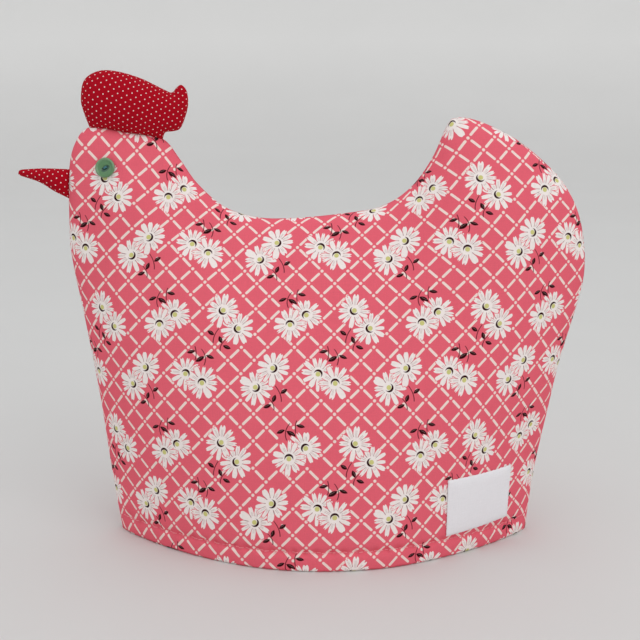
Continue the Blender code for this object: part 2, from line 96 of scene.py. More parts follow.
# Soft hollows and swells of the hanging cloth
CREASES = [
    # x, z, half length, half width, lean in degrees from level, depth (a swell is negative)
    (-52.0, 176.0, 34.0, 7.0, -48.0, 1.6),
    (-78.0, 196.0, 26.0, 8.0, -62.0, 1.2),
    (-88.0, 150.0, 40.0, 12.0, -70.0, 1.4),
    (66.0, 178.0, 34.0, 8.0, 52.0, 1.6),
    (92.0, 150.0, 46.0, 13.0, 66.0, 1.5),
    (-20.0, 60.0, 60.0, 20.0, 80.0, -1.2),
    (60.0, 70.0, 55.0, 18.0, 96.0, 1.3),
    (112.0, 190.0, 30.0, 20.0, 40.0, -1.5),
    (-100.0, 205.0, 32.0, 22.0, 80.0, -2.4),
    (EYE_X, EYE_Z, 7.0, 7.0, 0.0, 1.0),
]

COMB_FRONT = (-120.2, 237.6)
COMB_BACK = (-79.0, 231.7)
COMB_TOP = [
    # x, z
    (-123.3, 247.0), (-124.4, 253.5), (-122.4, 263.5), (-115.0, 268.6), (-105.0, 268.9), (-91.0, 265.0),
    (-78.5, 259.0), (-73.5, 257.0), (-70.7, 259.8), (-67.9, 261.2), (-65.0, 257.5), (-64.5, 250.0),
    (-66.6, 242.3), (-69.4, 236.8), (-73.5, 235.4), (-77.6, 234.8),
]
COMB_ROOT_SHARE = 0.2       # thickness left where it enters the seam, as a share of the middle
BEAK_ROOT_TOP = (-133.0, 214.6)
BEAK_ROOT_LOW = (-133.9, 197.0)
BEAK_EDGE = [
    # x, z
    (-146.5, 214.6), (-156.0, 214.2), (-160.2, 213.7), (-161.4, 212.2), (-160.2, 210.5), (-149.5, 206.8),
    (-141.5, 201.8),
]
BEAK_ROOT_SHARE = 0.3
ROOT_DEPTH = 0.8            # how far comb and beak reach into the seam
STUFFED_RINGS = (0.12, 0.45, 1.0, 1.8)      # mesh rings inside their edge, in steps of the mesh
SECOND_CUT = (3.1, 1.7)     # the far side's cut lies this far off on the spotted cotton

# The eye buttons: a turned disc with a lens-shaped hollow, two holes and its thread
BUTTON_TILT = math.radians(32.0)
BUTTON_PROFILE = [
    # ring radius as a share, height
    (0.45, 0.0), (0.80, 0.0), (0.93, 0.35), (0.985, 0.9), (1.0, 1.45), (0.975, 1.95), (0.93, 2.25),
    (0.87, 2.38), (0.815, 2.32), (0.775, 2.1), (0.74, 1.86), (0.68, 1.74), (0.50, 1.68), (0.24, 1.65),
]
BUTTON_STAND_OFF = 0.45
HOLE_RADIUS = 0.62
HOLE_ASIDE = 1.05           # from the button's middle to a hole's
HOLLOW_HALVES = (2.9, 1.5, 1.0)
HOLLOW_UP = 2.05
THREAD_RADIUS = 0.3
THREAD_UP = 1.1
THREAD_PRESS = 0.72         # the loops are pressed down to this share of their height
RIM_HIGHLIGHT_START = 4.55     # from its middle to the painted highlight on its rim
HOLLOW_SHADE_HALVES = (2.7, 1.4)    # the painted shade in the hollow

LABEL_CORNERS = [
    # x, z from the lower left corner round
    (80.0, 13.6), (117.4, 15.9), (118.4, 48.0), (80.3, 47.0),
]
LABEL_CUT = (45.0, 33.0)
LABEL_SEEN = (38.0, 33.0)   # its size as seen from the front
LABEL_LIFT = 0.35           # above the cloth at its stitched rim
LABEL_PUFF = 0.45           # and how much more inside the rim
LABEL_RIM_THICK = 0.25      # the tape at the rim
LABEL_SWELL = 0.35          # and how much more inside it
FRAY = 0.09
LABEL_ACROSS, LABEL_UP = 84, 66             # mesh squares

# The hem's stitches
STITCH_ENDS = (3.5, 2.0)    # bare at the left and the right end
STITCH_LIFT = 0.16

# The print, in trellis widths from one crossing, y up: flowers repeat every five widths both ways
REPEAT = 5.0
INK_EDGE = 0.02
DOT_RADIUS = 0.085
DASH_HALF_LENGTH = 0.262
DASH_HALF_WIDTH = 0.071
FIRST_DAISIES = [
    # x, y, direction of the dark crescent in degrees
    (-1.745, 1.405, 225.0), (0.828, 0.885, 90.0), (0.214, -0.807, -20.0), (2.53, -1.337, 95.0),
]
SECOND_DAISIES = [
    # x, y, direction of the dark crescent in degrees
    (-1.145, 0.708, 205.0), (1.427, 1.26, 135.0), (-0.43, -1.525, -35.0), (1.90, -0.998, 60.0),
]
# The trellis leaves out its dots and dashes whose middles lie this close to a daisy, or to these other places
DAISY_BLANK = 0.61
OTHER_BLANKS = [
    # which of the first daisies, x, y from it, reach
    (1, -0.18, 0.72, 0.20), (2, 0.06, -0.95, 0.38), (3, 0.10, 0.78, 0.24),
]
# A low sprig hangs under the first and the third of the first daisies, a high one stands over the others
LOW_LEAVES = [
    # x, y from the daisy, angle in degrees, half length, half width
    (0.413, -0.858, 33.0, 0.15, 0.072), (0.045, -1.121, 69.0, 0.15, 0.076),
    (-0.20, -1.406, 22.0, 0.16, 0.070),
]
LOW_STEMS = [
    # x, y, half height, lean, bend
    (0.265, -0.943, 0.297, -0.40, -0.74), (0.01, -1.33, 0.221, -0.477, -1.49),
]
LOW_MIDDLE = (0.1, -1.15)
HIGH_LEAVES = [
    # x, y from the daisy, angle in degrees, half length, half width
    (-0.305, 0.968, 21.5, 0.17, 0.066), (0.08, 0.89, -29.6, 0.20, 0.086), (0.423, 1.17, -12.0, 0.17, 0.066),
]
HIGH_STEMS = [
    # x, y, half height, lean, bend
    (-0.125, 0.96, 0.31, 0.174, 1.05), (0.232, 1.10, 0.277, 0.0, 0.63),
]
HIGH_MIDDLE = (0.1, 1.05)
# One daisy
PETALS = 12
DAISY_RADIUS = 0.682
CORE_RADIUS = 0.275         # the petals run together inside it
PETAL_HALF = 0.054          # half width at the core, and how much wider further out
PETAL_WIDENS = 0.032
PETAL_TIP = 0.13            # the length over which its end rounds off
UNDER_CORE = 0.22           # the middle of the lower daisy of a pair that the upper one leaves bare
CRESCENT_RADIUS, CRESCENT_HOLLOW, CRESCENT_SHIFT = 0.162, 0.149, 0.070
SPOT_RADIUS, SPOT_SHIFT = 0.092, 0.020
# How the sewn front pulls its print: it narrows towards the hem and is drawn aside here and there
PRINT_TAPER = (-0.3, 0.2)       # x, y, per 1000 square millimetres from the taper's middle
TAPER_MIDDLE = (10.0, 110.0)
PRINT_PULLS = [
    # x, y on the cut, reach, shift x, y
    (135.0, 50.0, 55.0, 8.0, -2.0), (140.0, 15.0, 20.0, 0.0, -2.0), (105.0, 5.0, 20.0, -2.0, 0.0),
    (160.0, 110.0, 50.0, 0.0, 3.0), (110.0, 165.0, 40.0, -3.0, 0.0), (100.0, 230.0, 40.0, -2.0, 0.0),
    (15.0, 225.0, 55.0, -3.0, -3.0), (-50.0, 185.0, 30.0, -1.0, -1.0), (70.0, 75.0, 50.0, 0.0, 2.0),
    (-115.0, 215.0, 40.0, -4.0, 1.0), (-135.0, 230.0, 25.0, -3.0, 2.0), (-90.0, 225.0, 30.0, 1.0, 2.0),
    (-120.0, 115.0, 60.0, 3.0, 3.0), (-90.0, -10.0, 50.0, 3.0, 0.0), (-100.0, 15.0, 30.0, -1.0, -2.0),
    (0.0, 0.0, 45.0, 2.0, -1.0),
]

# Lesser inks and shades
STEM_INK = (0.10, 0.012, 0.018)
LEAF_SHINE = (0.42, 0.30, 0.30)
REVERSE_TINT = (0.80, 0.45, 0.45)
BUTTON_CLOUD = (0.09, 0.21, 0.085)
# the buttons' paler rim is a painted highlight, and the dark lens in their hollow is painted shade
BUTTON_RIM_HIGHLIGHT = (0.26, 0.42, 0.25)
BUTTON_HOLLOW_SHADE = (0.012, 0.055, 0.045)
ROOM_COLOUR = (0.97, 0.99, 1.0, 1.0)

# The stage, in metres
STAGE_RINGS = [
    # radius, height
    (1.5, 0.0), (1.9, 0.01), (2.2, 0.05), (2.45, 0.14), (2.65, 0.3), (2.8, 0.55), (2.88, 0.85), (2.9, 1.1),
]
LIGHTS = [
    # name, place, size
    ("key", (0.8, -1.1, 1.3), 1.3), ("fill", (-1.2, -0.9, 1.0), 1.2),
]
LIT_POINT = Vector((0.0, 0.0, 0.1))


def amount(name, text, value, **more):
    """A number that a user may change."""
    return FloatProperty(name=name, description=text, default=value, **more)


def length(name, text, value, **more):
    """A length that a user may change."""
    return amount(name, text + " in millimetres", value, **more)


def paint(name, text, value):
    """A colour that a user may change."""
    return FloatVectorProperty(name=name, description=text, default=value, subtype="COLOR", size=3)


def point(name, text, value, **more):
    """A place that a user may change."""
    return FloatVectorProperty(name=name, description=text, default=value, size=len(value), **more)


class CosyPanelSizes(bpy.types.PropertyGroup):
    """Cut and padding of the two printed panels."""
    thickness: length("Padding", "Thickness of the padded cloth", 4.6, min=1.0)
    roll_height: length("Roll height", "Swell of the padding beside the seam", 5.5)
    roll_width: length("Roll width", "Width of that swell", 8.0, min=1.0)
    stitch_up: length("Hem stitching", "Height of the hem's topstitching", 10.9)
    stitch_dip: length("Hem dip", "How far the stitching pulls the cloth in,", 1.6)
    stitch_dip_width: length("Dip width", "Half width of that trough", 1.9, min=0.1)
    hem_round: length("Hem fold", "Radius of the folded bottom edge", 1.7, min=0.1)
    pucker: length("Pucker", "Depth of the small gathers beside the seam", 0.32)
    grain: length("Mesh grain", "Spacing of the mesh points", 2.6, min=1.5)


class CosyPrintLook(bpy.types.PropertyGroup):
    """Scale, place and inks of the printed cotton."""
    width: length("Trellis width", "Width of one diamond", 14.65, min=1.0)
    height: length("Trellis height", "Height of one diamond", 14.55, min=1.0)
    turn: amount("Turn", "Turn of the print on the cut", 0.011, subtype="ANGLE")
    start: point("Start", "A crossing on the front cut in millimetres", (-19.6, 120.1))
    back_start: point("Back start", "A crossing on the back cut in millimetres", (8.0, 131.0))
    ground: paint("Pink ground", "Dyed ground colour", (0.84, 0.136, 0.187))
    trellis: paint("Trellis", "Pale pink of the dashes and dots", (0.95, 0.76, 0.70))
    petal: paint("Petals", "Off-white of the daisies", (0.95, 0.86, 0.83))
    vein: paint("Veins", "Thin grey-pink lines on the petals", (0.34, 0.14, 0.16))
    spot: paint("Daisy centre", "Yellow-green spot", (0.66, 0.63, 0.24))
    leaf: paint("Leaves", "Near-black of leaves and crescents", (0.034, 0.004, 0.005))
    thread: paint("Hem thread", "Pink sewing thread", (0.90, 0.30, 0.34))


class CosyTrimLook(bpy.types.PropertyGroup):
    """Comb, beak, buttons, tab and thread."""
    red: paint("Red cotton", "Ground of the comb and the beak", (0.42, 0.004, 0.014))
    spot: paint("Pin dots", "Colour of the pin dots", (0.90, 0.74, 0.70))
    spot_across: length("Dots across", "Distance between dots of one row", 4.92, min=0.5)
    spot_up: length("Dots up", "Distance between every other row", 3.65, min=0.5)
    spot_radius: length("Dot radius", "Radius of a pin dot", 0.34, min=0.1)
    spot_turn: amount("Dots' turn", "Turn of the rows of dots", math.radians(-10.5), subtype="ANGLE")
    comb_half_thick: length("Comb", "Half thickness of the stuffed comb", 10.5)
    beak_half_thick: length("Beak", "Half thickness of the stuffed beak", 6.0)
    button: paint("Button", "Moss green of the eye buttons", (0.085, 0.24, 0.095))
    button_radius: length("Button radius", "Radius of an eye button", 5.65)
    eye_thread: paint("Eye thread", "Thread in the button", (0.07, 0.20, 0.23))
    tape: paint("Tab", "White of the tape tab", (0.90, 0.88, 0.91))
    stitch_long: length("Stitch length", "Length of a hem stitch", 2.6, min=0.5)
    stitch_pitch: length("Stitch pitch", "Distance from one hem stitch to the next", 3.2, min=1.0)
    stitch_thick: length("Stitch thickness", "Radius of the sewing thread", 0.26)


class CosyStageLook(bpy.types.PropertyGroup):
    """Camera and light."""
    distance: amount("Distance", "Camera distance", 0.78, unit="LENGTH")
    elevation: amount("Elevation", "Camera height angle", math.radians(12.5), subtype="ANGLE")
    aim: point("Aim", "Point that the camera looks at", (0.0094, 0.0, 0.1267), subtype="XYZ", unit="LENGTH")
    lens: length("Lens", "Focal length", 75.64)
    floor: paint("Floor", "Floor and backdrop colour", (0.66, 0.65, 0.64))
    key_power: amount("Key light", "Power of the large soft light", 6.0)
    fill_power: amount("Fill light", "Power of the fill light", 0.5)
    room: amount("Room light", "Strength of the even light all round", 0.89)


def even_points(line, step):
    """The same line with its points evenly spaced."""
    travel = np.concatenate([[0.0], np.cumsum(np.linalg.norm(np.diff(line, axis=0), axis=1))])
    at = np.linspace(0.0, travel[-1], max(3, round(travel[-1] / step)) + 1)
    return np.column_stack([np.interp(at, travel, axis) for axis in line.T])


def smooth_line(points, step):
    """A smooth curve through the points, read at about one step apart."""
    pts = np.array(points, float)
    pts = np.vstack([2 * pts[0] - pts[1], pts, 2 * pts[-1] - pts[-2]])
    fine = []
    for p0, p1, p2, p3 in zip(pts, pts[1:], pts[2:], pts[3:]):
        for t in [k / 12.0 for k in range(12)]:
            fine.append(0.5 * (2 * p1 + (p2 - p0) * t + (2 * p0 - 5 * p1 + 4 * p2 - p3) * t ** 2
                               + (3 * p1 - p0 - 3 * p2 + p3) * t ** 3))
    return even_points(np.array(fine + [pts[-2]]), step)


def rightward(run):
    """Unit directions to the right of each run."""
    run = run / np.linalg.norm(run, axis=1)[:, None]
    return np.column_stack([run[:, 1], -run[:, 0]])


def distance_to(line, points):
    """Shortest distance from each point to an open line, and how far along the line that is."""
    run = line[1:] - line[:-1]
    far = np.linalg.norm(run, axis=1)
    begin = np.concatenate([[0.0], np.cumsum(far)])[:-1]
    near = np.full(len(points), 1e9)
    along = np.zeros(len(points))
    for s, r, n, b in zip(line[:-1], run, far, begin):
        share = np.clip((points - s) @ r / n ** 2, 0.0, 1.0)
        gap = np.linalg.norm(points - s - share[:, None] * r, axis=1)
        better = gap < near
        near[better] = gap[better]
        along[better] = b + share[better] * n
    return near, along


def inside(loop, points):
    """True for each point inside a closed loop."""
    x, z = points[:, 0], points[:, 1]
    odd = np.zeros(len(points), bool)
    for (x1, z1), (x2, z2) in zip(loop, np.roll(loop, -1, axis=0)):
        if z1 != z2:
            odd ^= ((z1 > z) != (z2 > z)) & (x < x1 + (z - z1) * (x2 - x1) / (z2 - z1))
    return odd


def kept_inside(loop, edge, keep_off, points):
    """The points inside a loop that keep off its edge."""
    points = np.array(points)
    points = points[inside(loop, points)]
    return points[distance_to(edge, points)[0] > keep_off]


def crosses(points, tri):
    """Cross product of two sides of each triangle; its length is twice the area."""
    a, b, c = (points[tri[:, k]] for k in range(3))
    return np.cross(b - a, c - a)


def triangulate(loop, points):
    """Points and triangles over a closed loop, with more points inside it."""
    flat = np.vstack([loop, *points])
    count = len(loop)
    edges = [(i, (i + 1) % count) for i in range(count)]
    _, _, faces, origin, _, _ = delaunay_2d_cdt([Vector(p) for p in flat], edges, [], 1, 1e-7)
    name = [group[0] for group in origin]
    tri = np.array([(name[f[0]], name[f[k]], name[f[k + 1]]) for f in faces for k in range(1, len(f) - 1)])
    turn = crosses(flat, tri)
    flip = turn < 0
    tri[flip] = tri[flip][:, ::-1]
    return flat, tri[np.abs(turn) > 1e-9]


def staggered_grid(loop, spacing, low):
    """A staggered grid of points over a loop, from a lowest row up."""
    (x0, _), (x1, z1) = loop.min(0), loop.max(0)
    return [(x, z) for row, z in enumerate(np.arange(low, z1, 0.866 * spacing))
            for x in np.arange(x0 + 0.5 * spacing * (row % 2), x1, spacing)]


def film(flat, tri, values, fullness, stiffness=1.0):
    """Heights of a film over the plane, held at its first points and bulging by its fullness."""
    place = flat * np.array([1.0, 1.0 / math.sqrt(stiffness)])
    count = len(flat)
    ends, weights = [], []
    load = np.zeros(count)
    for k in range(3):
        i, j, o = tri[:, k], tri[:, (k + 1) % 3], tri[:, (k + 2) % 3]
        u, v = place[i] - place[o], place[j] - place[o]
        cross = np.abs(u[:, 0] * v[:, 1] - u[:, 1] * v[:, 0])
        ends.append(np.column_stack([i, j]))
        weights.append(0.5 * (u * v).sum(1) / np.maximum(cross, 1e-9))
        load += np.bincount(i, fullness * cross / 6.0, count)
    ends = np.vstack(ends)
    weights = np.concatenate(weights)
    diagonal = np.bincount(ends[:, 0], weights, count) + np.bincount(ends[:, 1], weights, count)

    def pull(h):
        out = diagonal * h
        out -= np.bincount(ends[:, 0], weights * h[ends[:, 1]], count)
        out -= np.bincount(ends[:, 1], weights * h[ends[:, 0]], count)
        return out

    height = np.zeros(count)
    height[:len(values)] = values
    free = np.ones(count)
    free[:len(values)] = 0.0
    rest = (load - pull(height)) * free
    ready = rest / np.maximum(diagonal, 1e-9)
    way = ready.copy()
    energy = rest @ ready
    goal = 1e-12 * energy
    for _ in range(4000):
        if energy <= goal:
            break
        push = pull(way) * free
        step = energy / (way @ push)
        height += step * way
        rest -= step * push
        ready = rest / np.maximum(diagonal, 1e-9)
        fresh = rest @ ready
        way = ready + fresh / energy * way
        energy = fresh
    return height


def swell(depth, width):
    """Quarter-round rise from 0 to 1 over the given width."""
    part = np.clip(depth / width, 0.0, 1.0)
    return np.sqrt(1.0 - (1.0 - part) ** 2)


def soft_noise(x, y, seed):
    """A smooth uneven field between about -1 and 1, the same on every run."""
    rng = np.random.default_rng(seed)
    total = np.zeros(np.shape(x))
    for _ in range(9):
        turn, phase = rng.uniform(0.0, TAU, 2)
        pace = rng.uniform(0.6, 1.6)
        total += np.sin(pace * (x * math.cos(turn) + y * math.sin(turn)) + phase)
    return total / 4.5


def new_object(name, verts, faces):
    """A smooth-shaded piece in metres from millimetre points."""
    mesh = bpy.data.meshes.new(name)
    mesh.from_pydata((np.asarray(verts, float) * MM).tolist(), [], [tuple(map(int, f)) for f in faces])
    mesh.update()
    mesh.shade_smooth()
    obj = bpy.data.objects.new(name, mesh)
    bpy.context.scene.collection.objects.link(obj)
    return obj


def choose(*objects):
    """Only these objects are selected, and the first is active."""
    bpy.ops.object.select_all(action="DESELECT")
    for obj in objects:
        obj.select_set(True)
    bpy.context.view_layer.objects.active = objects[0]


def primitive(name, add, **sizes):
    """A named solid from one of the mesh primitives."""
    bpy.ops.object.select_all(action="DESELECT")
    add(**sizes)
    made = bpy.context.active_object
    made.name = name
    return made


def edit_all():
    """Go in edit mode with everything selected."""
    bpy.ops.object.mode_set(mode="EDIT")
    bpy.ops.mesh.select_all(action="SELECT")


def face_outwards(obj):
    """Turn the faces of a closed piece outwards."""
    bm = bmesh.new()
    bm.from_mesh(obj.data)
    bmesh.ops.recalc_face_normals(bm, faces=bm.faces)
    bm.to_mesh(obj.data)
    bm.free()


def finish_piece(obj, slot, *materials, node=None):
    """Give a piece its materials and its body, and hide the solid that it stands for. Its finish is not used.
    """
    obj.data.materials.clear()
    for material in materials:
        obj.data.materials.append(material)
    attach(obj, BODY)
    if node:
        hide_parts(node)


def corners_of(mesh):
    """The vertex of each face corner of a mesh."""
    corner = np.zeros(len(mesh.loops), int)
    mesh.loops.foreach_get("vertex_index", corner)
    return corner


def write_map(obj, at):
    """Write the cut's coordinates, one place per vertex in millimetres, as the UV map in metres."""
    layer = obj.data.uv_layers.new(name="cut")
    layer.uv.foreach_set("vector", (at[corners_of(obj.data)] * MM).astype(np.float32).ravel())


def lay_flat(points, tri, mirrored=False):
    """Unfold a curved sheet to its flat cut: one place per point, upright and in millimetres."""
    sheet = new_object("unfolding", points, tri)
    choose(sheet)
    edit_all()
    bpy.ops.uv.unwrap(method="ANGLE_BASED", fill_holes=True, correct_aspect=False, margin=0.0)
    bpy.ops.object.mode_set(mode="OBJECT")
    mesh = sheet.data
    uv = np.zeros(len(mesh.loops) * 2, np.float32)
    mesh.uv_layers.active.uv.foreach_get("vector", uv)
    flat = np.zeros((len(points), 2))
    flat[corners_of(mesh)] = uv.reshape(-1, 2)
    bpy.data.objects.remove(sheet, do_unlink=True)
    bpy.data.meshes.remove(mesh)
    real = np.linalg.norm(crosses(points, tri), axis=1)
    flat *= math.sqrt(real.sum() / abs(crosses(flat, tri).sum()))
    target = points[:, [0, 2]] * (-1.0 if mirrored else 1.0, 1.0)
    one = (flat - flat.mean(0)) @ (1.0, 1j)
    other = (target - target.mean(0)) @ (1.0, 1j)
    straight, over = np.vdot(one, other), np.vdot(one.conj(), other)
    if abs(over) > abs(straight):
        one, straight = one.conj(), over
    one = one * straight / abs(straight)
    return np.column_stack([one.real, one.imag]) + target.mean(0)


def feed(tree, sockets, items):
    """Link each socket to its wire, or set it to its plain value."""
    for socket, item in zip(sockets, items):
        if isinstance(item, Wire):
            tree.links.new(item.socket, socket)
        else:
            socket.default_value = item


class Wire:
    """A number in a shader tree that is added, multiplied and compared like any other."""

    def __init__(self, tree, socket):
        self.tree = tree
        self.socket = socket

    def math(self, operation, *others, clamp=False):
        node = self.tree.nodes.new("ShaderNodeMath")
        node.operation = operation
        node.use_clamp = clamp
        feed(self.tree, node.inputs, (self, *others))
        return Wire(self.tree, node.outputs[0])

    __add__ = partialmethod(math, "ADD")
    __sub__ = partialmethod(math, "SUBTRACT")
    __mul__ = partialmethod(math, "MULTIPLY")
    sin = partialmethod(math, "SINE")
    cos = partialmethod(math, "COSINE")
    floor = partialmethod(math, "FLOOR")
    abs = partialmethod(math, "ABSOLUTE")
    root = partialmethod(math, "SQRT")
    low = partialmethod(math, "MINIMUM")
    high = partialmethod(math, "MAXIMUM")
    below = partialmethod(math, "LESS_THAN")
    above = partialmethod(math, "GREATER_THAN")
    held = partialmethod(math, "ADD", 0.0, clamp=True)

    def __rsub__(self, other):
        return self * -1.0 + other

    def __truediv__(self, other):
        return self.math("DIVIDE", other) if isinstance(other, Wire) else self * (1.0 / other)

    def edge(self, soft):
        """0 to 1 as the number rises through zero, over a soft width."""
        return self.math("MULTIPLY_ADD", 1.0 / soft, 0.5, clamp=True)

    def near(self):
        """Signed distance to the nearest whole number."""
        return self - (self + 0.5).floor()

    def wrapped(self, width):
        """The number folded into one repeat around zero."""
        return self.math("WRAP", -0.5 * width, 0.5 * width)

    def pick(self, other, choice):
        """The other number where the choice is 1."""
        node = self.tree.nodes.new("ShaderNodeMix")
        feed(self.tree, (node.inputs[0], node.inputs[2], node.inputs[3]), (choice, self, other))
        return Wire(self.tree, node.outputs[0])


def square(x, y):
    """Squared distance from zero."""
    return x * x + y * y


def span(x, y):
    """Distance from zero."""
    return square(x, y).root()


def highest(wires):
    """The highest of some numbers."""
    return reduce(Wire.high, wires)


def turned(x, y, angle):
    """Coordinates in a frame turned by a fixed angle."""
    c, s = math.cos(angle), math.sin(angle)
    return x * c + y * s, y * c - x * s


def start_group(name, inputs, outputs, default=0.0):
    """A shader group of numbers, and wires for its inputs by name."""
    tree = bpy.data.node_groups.new(name, "ShaderNodeTree")
    for way, labels in (("INPUT", inputs), ("OUTPUT", outputs)):
        for label in labels:
            socket = tree.interface.new_socket(name=label, in_out=way, socket_type="NodeSocketFloat")
            socket.default_value = default
    source = tree.nodes.new("NodeGroupInput")
    tree.nodes.new("NodeGroupOutput")
    return tree, {label: Wire(tree, source.outputs[label]) for label in inputs}


def end_group(tree, **masks):
    """Link wires to the group's outputs."""
    sink = next(n for n in tree.nodes if n.bl_idname == "NodeGroupOutput")
    feed(tree, [sink.inputs[label] for label in masks], masks.values())


def use_group(tree, group, **values):
    """Place a group in a tree with its values and return wires for its outputs by name."""
    node = tree.nodes.new("ShaderNodeGroup")
    node.node_tree = group
    feed(tree, [node.inputs[label] for label in values], values.values())
    return {out.name: Wire(tree, out) for out in node.outputs}


def split(tree, socket):
    """X, Y and Z of a vector."""
    node = tree.nodes.new("ShaderNodeSeparateXYZ")
    tree.links.new(socket, node.inputs[0])
    return tuple(Wire(tree, out) for out in node.outputs)


def joined(tree, x, y, z=0.0):
    """A vector from three numbers."""
    node = tree.nodes.new("ShaderNodeCombineXYZ")
    feed(tree, node.inputs, (x, y, z))
    return Wire(tree, node.outputs[0])


def noise(tree, vector, scale, detail=2.0, roughness=0.5):
    """Fractal noise around 0.5 at a vector."""
    node = tree.nodes.new("ShaderNodeTexNoise")
    feed(tree, [node.inputs[label] for label in ("Vector", "Scale", "Detail", "Roughness")],
         (vector, scale, detail, roughness))
    return Wire(tree, node.outputs[0])


def chances(tree, number):
    """Three uneven numbers from 0 to 1 that belong to one whole number."""
    node = tree.nodes.new("ShaderNodeTexWhiteNoise")
    node.noise_dimensions = "1D"
    tree.links.new(number.socket, node.inputs["W"])
    return split(tree, node.outputs["Color"])


def blend(tree, share, below, above, mode="MIX"):
    """Lay one colour over another by a share."""
    node = tree.nodes.new("ShaderNodeMix")
    node.data_type = "RGBA"
    node.blend_type = mode
    paints = [item if isinstance(item, Wire) else (*item, 1.0) for item in (below, above)]
    feed(tree, (node.inputs[0], node.inputs[6], node.inputs[7]), (share, *paints))
    return Wire(tree, node.outputs[2])


@cache
def trellis_group():
    """Dashes along both slants with a dot at each crossing, left out round the blanks, in diamond widths."""
    blanks = [("First", DAISY_BLANK), ("Second", DAISY_BLANK)]
    blanks += [(f"Blank {n}", reach) for n, _, _, reach in OTHER_BLANKS]
    labels = ["X", "Y"] + [name + way for name, _ in blanks for way in (" X", " Y")]
    tree, at = start_group("trellis", labels, ["Mask"])
    one, two = (at["X"] - at["Y"]).near(), (at["X"] + at["Y"]).near()
    one_half, two_half = (way - way.math("SIGN") * 0.5 for way in (one, two))
    shapes = [(one, two, DOT_RADIUS - span(one, two))]
    for across, along, u, v in ((one, two_half, one, two_half), (two, one_half, one_half, two)):
        past = (along.abs() - DASH_HALF_LENGTH).high(0.0)
        shapes.append((u, v, DASH_HALF_WIDTH - span(across, past)))
    masks = []
    for u, v, shape in shapes:
        mask = shape.edge(INK_EDGE)
        middle_x, middle_y = (u + v) * 0.5, (v - u) * 0.5
        for name, reach in blanks:
            away = square(at[name + " X"] - middle_x, at[name + " Y"] - middle_y)
            mask = mask.low(away.above(reach * reach))
        masks.append(mask)
    end_group(tree, Mask=highest(masks))
    return tree


@cache
def daisy_group():
    """One daisy around zero, in diamond widths: petals, the clear band round them, veins and centre."""
    tree, at = start_group("daisy", ["X", "Y", "Turn"], ["Petals", "Clear", "Veins", "Crescent", "Spot"])
    x, y, turn = at["X"], at["Y"], at["Turn"]
    r, angle = span(x, y), y.math("ARCTAN2", x)
    # The petals stand unevenly round the core, and chance numbers make each lean, plump or tall
    seed = turn * 3.1
    sway = (angle * 2.0 + seed).sin()
    place = (angle + sway * 0.11 + (angle * 3.0 - seed).sin() * 0.06) * (PETALS / TAU) + seed
    number = (place + 0.5).floor().math("FLOORED_MODULO", PETALS) + seed * 7.0
    lean, plump, tall = chances(tree, number)
    petal, spread = place.near(), r * (TAU / PETALS)
    across = (petal + (lean - 0.5) * 0.14).abs() * spread
    side = (0.5 - petal.abs()) * spread
    # Each ends in a notch between two lobes
    notch = (across * across * -1500.0).math("EXPONENT") * (lean * 0.11)
    reach = tall * -0.11 + DAISY_RADIUS + sway * 0.02 - notch
    grow = ((r - 0.2) / 0.15).held()
    tip = ((r - reach) / PETAL_TIP + 1.0).held()
    half = (grow * PETAL_WIDENS + PETAL_HALF) * (plump * 0.30 + 0.85) * (1.0 - tip * tip * 0.78).root()
    petals = (half - across).low(reach - r).high(CORE_RADIUS - r)
    clear = (half + 0.024 - across).low(reach + 0.026 - r).high(CORE_RADIUS + 0.025 - r)
    # Thin lines part the petals at the core, and two short ones run out on the leaner petals
    slits = (0.011 - side).edge(0.010) * (r - 0.215 - lean * 0.06).edge(0.03)
    lines = (0.005 - (across - 0.018).abs()).edge(0.008) * (plump * 0.2 + 0.33 - r).edge(0.03)
    lines = lines * (r - 0.22 - tall * 0.06).edge(0.03) * lean.above(0.35)
    # The dark crescent is a disc less a second one, moved off towards its open side
    cx, cy = turn.cos(), turn.sin()
    inner = span(x + cx * CRESCENT_SHIFT, y + cy * CRESCENT_SHIFT)
    crescent = (CRESCENT_RADIUS - r).edge(0.010).low((inner - CRESCENT_HOLLOW).edge(0.010))
    spot = (SPOT_RADIUS - span(x + cx * SPOT_SHIFT, y + cy * SPOT_SHIFT)).edge(0.014)
    end_group(tree, Petals=petals.edge(0.012), Clear=clear.edge(0.012), Veins=slits.high(lines * 0.7),
              Crescent=crescent, Spot=spot)
    return tree


def sprig_group(name, leaves, stems):
    """Leaves on thin stems beside a daisy: the dark masks and the small light lines on the leaves."""
    tree, at = start_group(name, ["X", "Y"], ["Leaves", "Stems", "Shine"])
    dark, shine, thin = [], [], []
    for cx, cy, angle, long, wide in leaves:
        along, across = turned(at["X"] - cx, at["Y"] - cy, math.radians(angle))
        share = along / long
        dark.append(((1.0 - share * share) * wide - across.abs()).edge(0.014))
        line = (0.008 - (across - 0.3 * wide).abs()).edge(0.010)
        shine.append(line * (0.5 - share.abs()).edge(0.1))
    for cx, cy, tall, lean, bend in stems:
        up = at["Y"] - cy
        aside = at["X"] - cx - up * lean - up * up * bend
        thin.append((0.017 - aside.abs()).edge(0.014) * (tall - up.abs()).edge(0.02))
    end_group(tree, Leaves=highest(dark), Stems=highest(thin), Shine=highest(shine))
    return tree


def nearest(flowers):
    """The nearest of some flowers: its offset and its turn."""
    x, y, degrees = flowers[0]
    best = square(x, y)
    turn = best * 0.0 + math.radians(degrees)
    for fx, fy, degrees in flowers[1:]:
        far = square(fx, fy)
        closer = far.below(best)
        x, y, turn = x.pick(fx, closer), y.pick(fy, closer), turn.pick(math.radians(degrees), closer)
        best = best.low(far)
    return x, y, turn


def closer_sprig(one, other, middle):
    """The nearer of two sprigs by their middles; the second is turned over."""
    (x1, y1, _), (x2, y2, _), (mx, my) = one, other, middle
    x2 = x2 * -1.0
    second = square(x2 - mx, y2 - my).below(square(x1 - mx, y1 - my))
    return {"X": x1.pick(x2, second), "Y": y1.pick(y2, second)}


